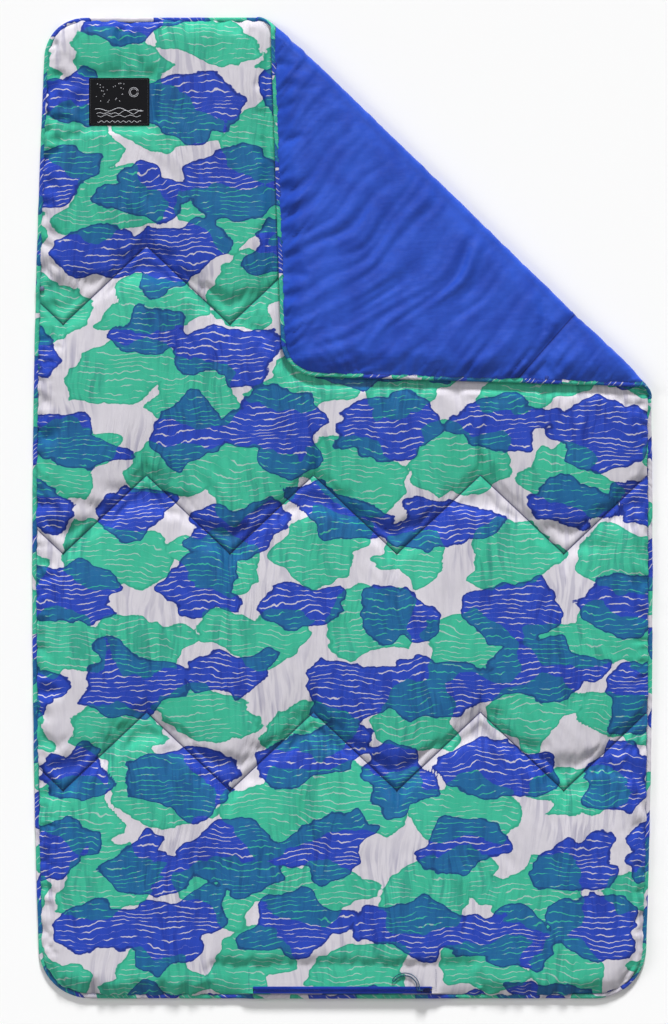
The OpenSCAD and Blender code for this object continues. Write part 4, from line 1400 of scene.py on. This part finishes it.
def roll_rail(flap_at, flap_inward, main_at, main_inward, steps=12):
    """Rail rows round the roll's end, from the flat part up to the flap, and their bend."""
    flap_z, main_z = flap_at[2], main_mid(RAIL_INSET)
    centre_z, r = (flap_z + main_z) / 2, (flap_z - main_z) / 2
    out_x, out_y = FOLD_OUT
    rows = []
    for k in range(steps):
        w = k / steps
        cos, sin = math.cos(PI * w), math.sin(PI * w)
        along = mix(along_fold(*main_at), along_fold(*flap_at[:2]), ease(w))
        origin = [*from_fold(along, FOLD_START + r * sin), centre_z - r * cos]
        tangent = np.array([out_x * cos, out_y * cos, sin])
        a = mix(along_fold(*main_inward), along_fold(*flap_inward[:2]), w)
        b = mix(across_fold(*main_inward), -across_fold(*flap_inward[:2]), w)
        inward = unit(a * np.array([*FOLD_ALONG, 0]) + b * tangent)
        rows.append((origin, inward, [-out_x * sin, -out_y * sin, cos], w))
    return [np.array(column) for column in zip(*rows)]


def corner_rail():
    """The rail of the corner's edge with the roll at both ends, and its bend weights."""
    flap = edge_rail(flap_outline(), flap_layers, -1.0)
    flap = (*flap, np.ones(len(flap[0])))
    first = roll_rail(flap[0][0], flap[1][0], FOLD_HEAD_END, (0, -1))
    last = roll_rail(flap[0][-1], flap[1][-1], FOLD_SIDE_END, (-1, 0))
    origin, inward, up, bend = [np.concatenate([a, b, c[::-1]])
                                for a, b, c in zip(first, flap, last)]
    return (origin, inward, up, travel(origin)), bend


def sweep(name, rail, profile, seed=0, pucker=True):
    """A closed solid of the profile along a rail. Gives it and its places on the print."""
    origin, inward, up, at = rail
    n, m = len(origin), len(profile)
    across, z = [np.tile(column, (n, 1)) for column in profile.T]
    along = at[:, None] * np.ones((1, m))
    lift = 0 * z
    if pucker:
        swell = (1 + 0.10 * noise(along / 13, across / 14 + seed, seed=51)
                 + 0.06 * noise(along / 5.5, across / 9 + seed, seed=52))
        twist = 0.42 * np.sin(2 * PI * (along + np.sign(z) * 1.2 * across) / 8.6
                              + 2.2 * noise(along / 40, 0 * along, seed=53))
        z = z * swell + np.sign(z) * twist * ease((across - 1.0) / 2.5)
        from_ends = ease(np.minimum(along, at[-1] - along) / 30)
        wander = (0.9 * noise(along / 70, 0 * along + seed, seed=54)
                  + 0.45 * noise(along / 24, 0 * along + seed, seed=55))
        across = across + wander * from_ends * 0.6
        lift = 0.5 * noise(along / 46, 0 * along + seed + 3, seed=56) * from_ends
    co = (origin[:, None] + across[..., None] * inward[:, None]
          + (z + lift)[..., None] * up[:, None])
    # the strip is cut on the bias, at 45 degrees to the print
    girth = travel(profile)[None] * np.ones((n, 1))
    base = along + 340 * seed
    flat_x, flat_y = (base - girth) * 0.7071, (base + girth) * 0.7071
    ob = make_mesh(name, co.reshape(-1, 3), tube_faces(n, m),
                   points(flat_x, flat_y, 0 * flat_x) * MM)
    face_outwards(ob)
    return ob, flat_x.ravel(), flat_y.ravel()


def add_piping(name, nodes, rail, bend, seed):
    ob, x, y = sweep(name, rail, PIPING_PROFILE, seed)
    add_ink(ob, 1.3 * x, 1.3 * y)
    # painted seam shade: the piping darkens towards its inner rim, where it meets the quilt
    set_attr(ob, "seam_sd", np.tile(np.maximum(9.7 - PIPING_PROFILE[:, 0], 0), len(rail[0])))
    slots(ob, PRINT)
    bend = None if bend is None else np.repeat(bend, len(PIPING_PROFILE))
    register(ob, nodes, bend=bend)


def add_filler(name, nodes, rail, bend):
    ob, _, _ = sweep(name, rail, FILLER_PROFILE, pucker=False)
    slots(ob, FILLER)
    bend = None if bend is None else np.repeat(bend, len(FILLER_PROFILE))
    register(ob, nodes, bend=bend)


outline, outline_travel = main_outline()
MAIN_RAIL = (*edge_rail(outline, main_layers, 1.0), outline_travel)
CORNER_RAIL, CORNER_BEND = corner_rail()
add_piping("edge_piping", ("piping_foot", "piping_head"), MAIN_RAIL, None, seed=0)
add_piping("edge_piping_corner", ("piping_corner",), CORNER_RAIL, CORNER_BEND, seed=2)
add_filler("piping_filler_cord", ("piping_cord_foot", "piping_cord_head"), MAIN_RAIL, None)
add_filler("piping_filler_cord_corner", ("piping_cord_corner",), CORNER_RAIL, CORNER_BEND)

# ---------------------------------------------------------------- stitches
QUILT_STITCH = dict(pitch=4.2, length=3.4, radius=0.38)
PIPING_STITCH = dict(pitch=3.4, length=2.7, radius=0.30)
LABEL_STITCH = dict(pitch=3.0, length=2.4, radius=0.30, sink=0.25)
POCKET_STITCH = dict(pitch=3.4, length=2.8, radius=0.34)
# one stitch: share of its length, height over sink, thickness over radius
STITCH_SHAPE = np.array([(0.0, -1.0, 0.35), (0.12, -0.1, 0.85), (0.35, 0.9, 1.0),
                         (0.65, 0.9, 1.0), (0.88, -0.1, 0.85), (1.0, -1.0, 0.35)])


def stitches(name, path, normal, pitch, length, radius, sink=0.45, bend=None):
    """A row of short arched stitches along a line. Gives it and its points' bend weights."""
    normal = np.broadcast_to(normal, path.shape)
    at = travel(path)
    n = int((at[-1] - length) / pitch)
    share, height, thick = STITCH_SHAPE.T
    start = (at[-1] - n * pitch) / 2 + np.arange(n) * pitch
    t = start[:, None] + share[None] * length

    def sample(where, values):
        return np.stack([np.interp(where, at, column) for column in values.T], -1)

    up = unit(sample(t, normal))
    across = np.cross(unit(sample(t + 0.6, path) - sample(t - 0.6, path)), up)
    centre = sample(t, path) + up * (height * sink)[None, :, None]
    rings, sides = len(share), 6
    angle = (2 * PI * np.arange(sides) / sides)[None, None, :, None]
    ring = np.cos(angle) * across[:, :, None] + 0.85 * np.sin(angle) * up[:, :, None]
    co = centre[:, :, None] + (thick * radius)[None, :, None, None] * ring
    base = (np.arange(n) * rings * sides)[:, None, None]
    faces = [(base + f[None]).reshape(-1, f.shape[1]) for f in tube_faces(rings, sides)]
    ob = make_mesh(name, co.reshape(-1, 3), faces)
    if bend is not None:
        bend = np.repeat(np.interp(t, at, bend).ravel(), sides)
    return ob, bend


def quilting_row(name, node, row, body):
    x = np.arange(-side(row) + 11, side(row) - 11, 2.0)
    turns = [ZIG_X0 + k * ZIG_PERIOD / 2 for k in range(8)]
    x = np.unique(np.concatenate([x, [turn for turn in turns
                                      if -side(row) + 11 < turn < side(row) - 11]]))
    y = row + zigzag(x)
    path = points(x, y, main_layers(x, y)[0] + 0.12)[across_fold(x, y) < FOLD_START - 3]
    ob, _ = stitches(name, path, UP, **QUILT_STITCH)
    slots(ob, QUILT_THREAD)
    register(ob, (node,), ride=body)


def quilting_on_flap():
    """The head row's end, on the turned-down corner's lining."""
    x = np.arange(300, 560, 2.0)
    x, y = opened(x, HEAD_SEAM + zigzag(x))
    keep = (across_fold(x, y) < FOLD_START - 3) & (flap_inset(x, y) > 11)
    x, y = x[keep], y[keep]
    path = points(x, y, flap_layers(x, y)[0] + 0.12)
    ob, _ = stitches("stitches_quilting_row_1_corner", path, UP, **QUILT_STITCH)
    slots(ob, QUILT_THREAD)
    register(ob, ("quilt_thread_row_1_corner",), ride="corner_part")


def piping_seam(name, nodes, rail, side_up, bend=None):
    """The seam that closes the piping, on its upper side."""
    origin, inward, up, _ = rail
    path = origin + inward * 8.1 + up * (2.45 * side_up)
    ob, bend = stitches(name, path, up * side_up, bend=bend, **PIPING_STITCH)
    slots(ob, PIPING_THREAD)
    register(ob, nodes, bend=bend)


for number, (row, body) in enumerate(zip(SEAM_ROWS, ("head_part", "foot_part", "foot_part")), 1):
    quilting_row(f"stitches_quilting_row_{number}", f"quilt_thread_row_{number}", row, body)
quilting_on_flap()
piping_seam("stitches_piping", ("binding_thread_foot", "binding_thread_head"), MAIN_RAIL, 1)
piping_seam("stitches_piping_corner", ("binding_thread_corner",), CORNER_RAIL, -1, CORNER_BEND)


# ---------------------------------------------------------------- label
def patch(name, low, high, height, thick, radius=2.0, step=2.4):
    """A thin cloth patch with rounded corners that lies on a height function."""
    (x0, y0), (x1, y1) = low[:2], high[:2]
    x, y = np.meshgrid(np.linspace(x0, x1, int((x1 - x0) / step)),
                       np.linspace(y0, y1, int((y1 - y0) / step)), indexing="xy")
    cx, cy = (x0 + x1) / 2, (y0 + y1) / 2
    flat_x, flat_y = (x1 - x0) / 2 - radius, (y1 - y0) / 2 - radius
    qx, qy, _ = round_off((np.abs(x - cx) - flat_x) / radius, (np.abs(y - cy) - flat_y) / radius)
    x = cx + np.sign(x - cx) * (flat_x + qx * radius)
    y = cy + np.sign(y - cy) * (flat_y + qy * radius)
    z = height(x, y)
    edge = np.minimum(np.minimum(x - x0, x1 - x), np.minimum(y - y0, y1 - y))
    return slab(name, x, y, z + thick - 0.25 * (1 - ease(edge / 1.6)), z)


LABEL_THICKNESS = 0.8
RIDGE_PROFILE = np.array([(-0.5, -0.15), (-0.42, 0.14), (0, 0.24), (0.42, 0.14), (0.5, -0.15)])


def label_z(x, y):
    return SEWN_Z + 0.16 * noise(x / 26, y / 40, seed=101)


def embroidery(lines):
    """A mesh of low rounded ridges on the label, one for each (polyline, width)."""
    co, quads, tris = [], [], []
    base, m = 0, len(RIDGE_PROFILE)
    for line, width in lines:
        path, _ = resample(line, 0.9)
        n = len(path)
        ahead = unit(np.gradient(path, axis=0))
        narrow, low = np.ones((n, 1)), np.ones((n, 1))
        narrow[[0, -1]], low[[0, -1]] = 0.35, 0.6       # the ridge tapers at both ends
        off = RIDGE_PROFILE[:, 0] * width * narrow
        x, y = path[:, :1] - ahead[:, 1:] * off, path[:, 1:] + ahead[:, :1] * off
        z = label_z(path[:, 0], path[:, 1])[:, None] + LABEL_THICKNESS
        co.append(points(x, y, z + RIDGE_PROFILE[:, 1] * low))
        for i in range(n - 1):
            for k in range(m):
                a, b = base + i * m + k, base + i * m + (k + 1) % m
                quads.append((a, a + m, b + m, b))
        last = base + (n - 1) * m
        quads += [(base + 1, base + 2, base + 3, base), (last + 3, last + 2, last + 1, last)]
        tris += [(base, base + 3, base + 4), (last, last + 4, last + 3)]
        base += n * m
    return make_mesh("label_art_tmp", np.concatenate(co), [np.array(quads), np.array(tris)])


def label_drawing():
    """(polyline, width) of each line of the label's landscape."""
    def at(a, b):
        return tuple(mix(LABEL_LOW[:2], LABEL_HIGH[:2], np.array([a, b])))

    lines = []
    # three hill ridges: base, height, line width
    for k, (base, height, width) in enumerate(((0.30, 0.13, 1.0), (0.24, 0.09, 0.9),
                                               (0.18, 0.05, 0.8))):
        xs = np.linspace(0.10 + 0.02 * k, 0.90 - 0.02 * k, 90)
        hills = np.abs(noise(xs * (3.1 + k), 0 * xs + k, seed=111 + k)) * 1.3
        lines.append(([at(a, b) for a, b in zip(xs, base + height * hills)], width))
    # a round moon and its ring
    cx, cy = at(0.74, 0.70)
    for r in (6.2, 8.6):
        turns = np.linspace(0.2, 2 * PI - 0.1, 40)
        lines.append(([(cx + r * math.cos(t), cy + r * math.sin(t)) for t in turns], 0.8))
    # stars: small crosses
    for k in range(24):
        x, y = at(0.10 + 0.50 * dice(k, 1, 121), 0.47 + 0.42 * dice(k, 2, 122))
        r = 0.9 + 0.8 * dice(k, 3, 123)
        lines.append(([(x - r, y), (x + r, y)], 0.6))
        lines.append(([(x, y - r), (x, y + r)], 0.6))
    # a wave border along the label's lower edge
    xs = np.linspace(0.14, 0.86, 120)
    lines.append(([at(a, 0.085 + 0.018 * math.sin(2 * PI * a * 11)) for a in xs], 0.8))
    return lines


def build_label():
    ob = patch("woven_label_patch", LABEL_LOW, LABEL_HIGH, label_z, LABEL_THICKNESS)
    art = embroidery(label_drawing())
    for piece in (ob, art):
        slots(piece, LABEL, LABEL_ART)
    art.data.polygons.foreach_set("material_index", np.ones(len(art.data.polygons), np.int32))
    join("woven_label_patch", [ob, art])
    register(ob, ("woven_label",), ride="head_part")

    (x0, y0), (x1, y1) = LABEL_LOW[:2] + 2.9, LABEL_HIGH[:2] - 2.9
    path, _ = resample([(x0, y0), (x1, y0), (x1, y1), (x0, y1), (x0, y0 + 0.5)], 1.5)
    path = np.column_stack([path, label_z(path[:, 0], path[:, 1]) + 0.95])
    ob, _ = stitches("stitches_label", path, UP, **LABEL_STITCH)
    slots(ob, LABEL_THREAD)
    register(ob, ("label_stitching",), ride="head_part")


build_label()


# ---------------------------------------------------------------- zip
def carried_frame(ahead, reference):
    """Directions square to a path, carried along it without twist."""
    square = np.cross(ahead[0], reference)
    out = np.zeros_like(ahead)
    for i, direct in enumerate(ahead):
        square = square - (square @ direct) * direct
        square /= np.linalg.norm(square)
        out[i] = square
    return out


def loop_tangents(path):
    return unit(np.roll(path, -1, 0) - np.roll(path, 1, 0))


def tube(name, path, radius, strand=None, sides=6):
    """A round tube. With a strand number it is a closed loop with a braid's coordinates."""
    n, closed = len(path), strand is not None
    ahead = loop_tangents(path) if closed else unit(np.gradient(path, axis=0))
    square = carried_frame(ahead, [0.31, 0.12, 0.94])
    twist, flat = np.zeros(n), None
    if closed:
        # spreads the frame's turn over the loop, so that its ends meet
        end = square[-1] - (square[-1] @ ahead[0]) * ahead[0]
        turn = math.atan2(np.cross(square[0], end) @ ahead[0], square[0] @ end)
        twist = -np.arange(n) / n * turn
        flat = np.stack([np.repeat(np.arange(n) / 9.0, sides),
                         np.tile(np.arange(sides) / sides, n), np.full(n * sides, strand)], 1)
    angle = (2 * PI * np.arange(sides)[None] / sides + twist[:, None])[..., None]
    ring = np.cos(angle) * square[:, None] + np.sin(angle) * np.cross(ahead, square)[:, None]
    co = path[:, None] + radius * ring
    return make_mesh(name, co.reshape(-1, 3), tube_faces(n, sides, closed), flat)


def zip_tape(name, node, sign):
    def height(x, y):
        return SEWN_Z + 0.07 * noise(x / 17, y / 9, seed=131 + sign)

    ob = patch(name, *box_mm(node), height, thick=0.55, radius=0.8, step=0.9)
    slots(ob, TAPE)
    register(ob, (node,), ride="foot_part")


def zip_coil(name, node, sign):
    low, high = box_mm(node)
    pitch, per_turn = 1.55, 12
    turn = np.arange(int((high[0] - low[0]) / pitch * per_turn)) / per_turn
    x = low[0] + turn * pitch + (pitch / 2 if sign < 0 else 0)
    y = ZIP_Y + sign * (1.28 + 1.18 * np.cos(2 * PI * turn))
    z = 15.1 + 0.50 * np.sin(2 * PI * turn)
    ob = tube(name, points(x, y, z), radius=0.34)
    slots(ob, COIL)
    register(ob, (node,), ride="foot_part")


def bevel_piece(node, material, width):
    """Keeps a CAD piece, with its own material and softened edges."""
    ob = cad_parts[node]
    slots(ob, material)
    bevel = ob.modifiers.new("soft_edges", "BEVEL")
    bevel.width, bevel.segments = width, 2
    bevel.limit_method, bevel.angle_limit = "ANGLE", math.radians(35)
    bevel.use_clamp_overlap = True


zip_tape("zip_tape_weave_upper", "zip_tape_upper", 1)
zip_tape("zip_tape_weave_lower", "zip_tape_lower", -1)
zip_coil("zip_teeth_upper", "zip_coil_upper", 1)
zip_coil("zip_teeth_lower", "zip_coil_lower", -1)
for node in ("zip_slider", "pull_tab", "zip_stops"):
    bevel_piece(node, SLIDER, width=0.00018)

# ---------------------------------------------------------------- snap
# radius, z
CAP_PROFILE = [(1.2, 3.1), (1.5, 3.4), (1.5, 9.6), (1.7, 10.05), (4.1, 10.1), (4.42, 10.25),
               (4.5, 10.55), (4.42, 10.9), (4.15, 11.15), (3.75, 11.25), (3.55, 11.2),
               (3.3, 11.35), (2.6, 11.72), (1.7, 11.92), (0.8, 11.99)]
RIVET_PROFILE = [(0.9, 20.0), (1.1, 20.3), (1.1, 25.1), (3.3, 25.15), (3.58, 25.3),
                 (3.55, 25.5), (3.2, 25.66), (2.0, 25.76), (0.9, 25.8)]


def lathe(name, centre, profile, segments):
    """A turned solid about a vertical line, capped at both ends of its profile."""
    radius, z = np.array(profile).T
    m = len(profile)
    angle = (2 * PI * np.arange(segments) / segments)[:, None]
    co = points(centre[0] + radius * np.cos(angle), centre[1] + radius * np.sin(angle),
                z + 0 * angle)
    i, j = np.meshgrid(np.arange(segments), np.arange(m - 1), indexing="ij")
    a, b = i * m + j, ((i + 1) % segments) * m + j
    quads = np.stack([a, b, b + 1, a + 1], -1).reshape(-1, 4)
    ring = np.arange(segments) * m
    ob = make_mesh(name, co, [quads, ring[::-1][None], (ring + m - 1)[None]])
    face_outwards(ob)
    return ob


cap = lathe("snap_cap_dome", SNAP, CAP_PROFILE, segments=44)
slots(cap, SNAP_PAINT)
register(cap, ("snap_cap",), ride="head_part")
for node in ("snap_socket", "snap_stud"):
    bevel_piece(node, SNAP_PAINT, width=0.0002)
rivet = lathe("snap_rivet_dome", STUD, RIVET_PROFILE, segments=36)
slots(rivet, RIVET_PAINT)
register(rivet, ("snap_rivet",), ride="corner_part")


# ---------------------------------------------------------------- stash pocket
def bag_z(x, y):
    return 11.05 + 0.14 * noise(x / 30, y / 34, seed=141)


def pocket_stitches():
    """The two rows that hold the bag's sides."""
    low, high = box_mm("pocket_stitching")
    rows = []
    for k, sign in enumerate((-1, 1)):
        y = np.linspace(low[1], high[1], 30)
        x = sign * 171 + 0.5 * noise(y / 14, 0 * y + k, seed=151)
        path = points(x, y, main_layers(x, y)[0] + 0.12)
        rows.append(stitches("pocket_stitch_tmp%d" % k, path, UP, **POCKET_STITCH)[0])
    ob = join("stitches_pocket_sides", rows)
    slots(ob, QUILT_THREAD)
    register(ob, ("pocket_stitching",), ride="foot_part")


bag = patch("stash_pocket_bag", *box_mm("pocket_bag"), bag_z, thick=1.0, radius=6.0, step=5.0)
slots(bag, BAG)
register(bag, ("pocket_bag",), ride="foot_part")
pocket_stitches()

# ---------------------------------------------------------------- pull cord
TAB_PLACE = np.array([154.0, ZIP_Y, 18.8])
# the bight through the pull tab, from TAB_PLACE
BIGHT = [(-17.6, 2.2, -1.85), (-15.1, -0.6, -1.9), (-11.2, -0.8, -2.05), (-8.6, -0.25, -1.3),
         (-8.1, 0, 0), (-8.5, 0.25, 1.3), (-10.2, 0.7, 2), (-12.2, 0.9, 1.3), (-13.9, 2.2, -0.6)]
LOOP_CENTRE = np.array([114.0, -876.0, 17.0])
STRANDS = 6


def cord_line():
    """The cord's closed centre line, and its length: out along an arc, round, and back."""
    def around(radius, degrees):
        return radius * np.array([*direction(degrees), 0])

    knots = [TAB_PLACE + np.array(p) for p in BIGHT]
    knots += [LOOP_CENTRE + around(26.6, -9 + 14 * i) for i in range(1, 12)]
    end = LOOP_CENTRE + around(24.3, 146)
    knots += [end + around(2.4, 146 + turn) for turn in (60, 120)]
    knots += [LOOP_CENTRE + around(22, -9 + 14 * i) for i in range(11, 0, -1)]
    path, n = [], len(knots)
    for i in range(n):
        a, b, c, d = knots[i - 1], knots[i], knots[(i + 1) % n], knots[(i + 2) % n]
        for t in np.linspace(0, 1, 9)[:-1]:
            path.append(0.5 * (2 * b + (c - a) * t + (2 * a - 5 * b + 4 * c - d) * t * t
                               + (3 * b - a - 3 * c + d) * t ** 3))
    path, at = resample(path + path[:1], 0.35)
    return path[:-1], at[-1]


def pull_cord():
    """Strands that wind both ways round a core."""
    path, length = cord_line()
    ahead = loop_tangents(path)
    square = carried_frame(ahead, UP)
    other = np.cross(ahead, square)
    wind = np.arange(len(path)) / len(path) * round(length / 3.6) * 2 * PI
    pieces = []
    for k in range(STRANDS):
        phase = (1 if k % 2 else -1) * wind + 2 * PI * k / STRANDS
        r = 0.56 + 0.09 * np.sin(3 * wind + k * PI)
        line = (path + (r * np.cos(phase))[:, None] * square
                + (r * np.sin(phase))[:, None] * other)
        pieces.append(tube("strand%d" % k, line, radius=0.36, strand=k))
    pieces.append(tube("core", path, radius=0.5, strand=0))
    ob = join("braided_pull_cord", pieces)
    slots(ob, BRAID)
    register(ob, ("pull_cord",), ride="cord")


pull_cord()


# ---------------------------------------------------------------- floor, light and camera
def build_floor(half=30.0, z=-0.0004):
    """A wide white floor, just under the blanket, in metres."""
    t = Shader("studio_floor")
    rough = t.range(t.noise(t.object_mm(), scale=0.004), 0.3, 0.7, 0.85, 0.95)
    t.set(Base_Color=srgb(250, 250, 250), Roughness=rough, Specular_IOR_Level=0.1)
    me = bpy.data.meshes.new("floor")
    me.from_pydata([(-half, -half, z), (half, -half, z), (half, half, z), (-half, half, z)],
                   [], [(0, 1, 2, 3)])
    ob = bpy.data.objects.new("floor", me)
    me.materials.append(t.material)
    scene.collection.objects.link(ob)


def build_world(seen=1.0, lighting=0.26):
    """A white world, full strength to the camera and weaker as light."""
    world = bpy.data.worlds.new("studio")
    world.use_nodes = True
    tree = world.node_tree
    background = tree.nodes["Background"]
    light_path = tree.nodes.new("ShaderNodeLightPath")
    strength = tree.nodes.new("ShaderNodeMapRange")
    # inputs 3 and 4 are the least and greatest result
    strength.inputs[3].default_value, strength.inputs[4].default_value = lighting, seen
    tree.links.new(light_path.outputs["Is Camera Ray"], strength.inputs[0])
    tree.links.new(strength.outputs[0], background.inputs[1])
    background.inputs[0].default_value = (1.0, 1.0, 1.0, 1.0)
    scene.world = world


def sun(name, azimuth, elevation, strength, softness, diffuse=True, glossy=True):
    """A sun lamp; its angles are in degrees."""
    light = bpy.data.lights.new(name, "SUN")
    light.energy, light.angle = strength, math.radians(softness)
    ob = bpy.data.objects.new(name, light)
    a, e = math.radians(azimuth), math.radians(elevation)
    toward = Vector((math.cos(a) * math.cos(e), math.sin(a) * math.cos(e), math.sin(e)))
    ob.rotation_euler = toward.to_track_quat("Z", "Y").to_euler()
    scene.collection.objects.link(ob)
    ob.visible_diffuse, ob.visible_glossy = diffuse, glossy


def build_camera(lens=100, sensor=36, view_width=1.871, subject_z=0.015):
    """Looks straight down from where view_width, in metres, fills the frame."""
    camera = bpy.data.cameras.new("camera")
    camera.lens, camera.sensor_width = lens, sensor
    camera.clip_start, camera.clip_end = 0.05, 60
    ob = bpy.data.objects.new("camera", camera)
    ob.location = (-0.0155, -0.0073, view_width * lens / sensor + subject_z)
    ob.rotation_euler = (0, 0, 0)
    scene.collection.objects.link(ob)
    scene.camera = ob


build_floor()
build_world()
# the low lamps give no glare off the cloth in grazing views
sun("key", azimuth=84, elevation=23, strength=4.35, softness=10, glossy=False)
sun("side", azimuth=165, elevation=26, strength=1.0, softness=20, glossy=False)
sun("fill", azimuth=-60, elevation=50, strength=0.3, softness=60)
sun("gloss", azimuth=100, elevation=60, strength=1.0, softness=40, diffuse=False)
build_camera()
scene.view_settings.view_transform = "Standard"
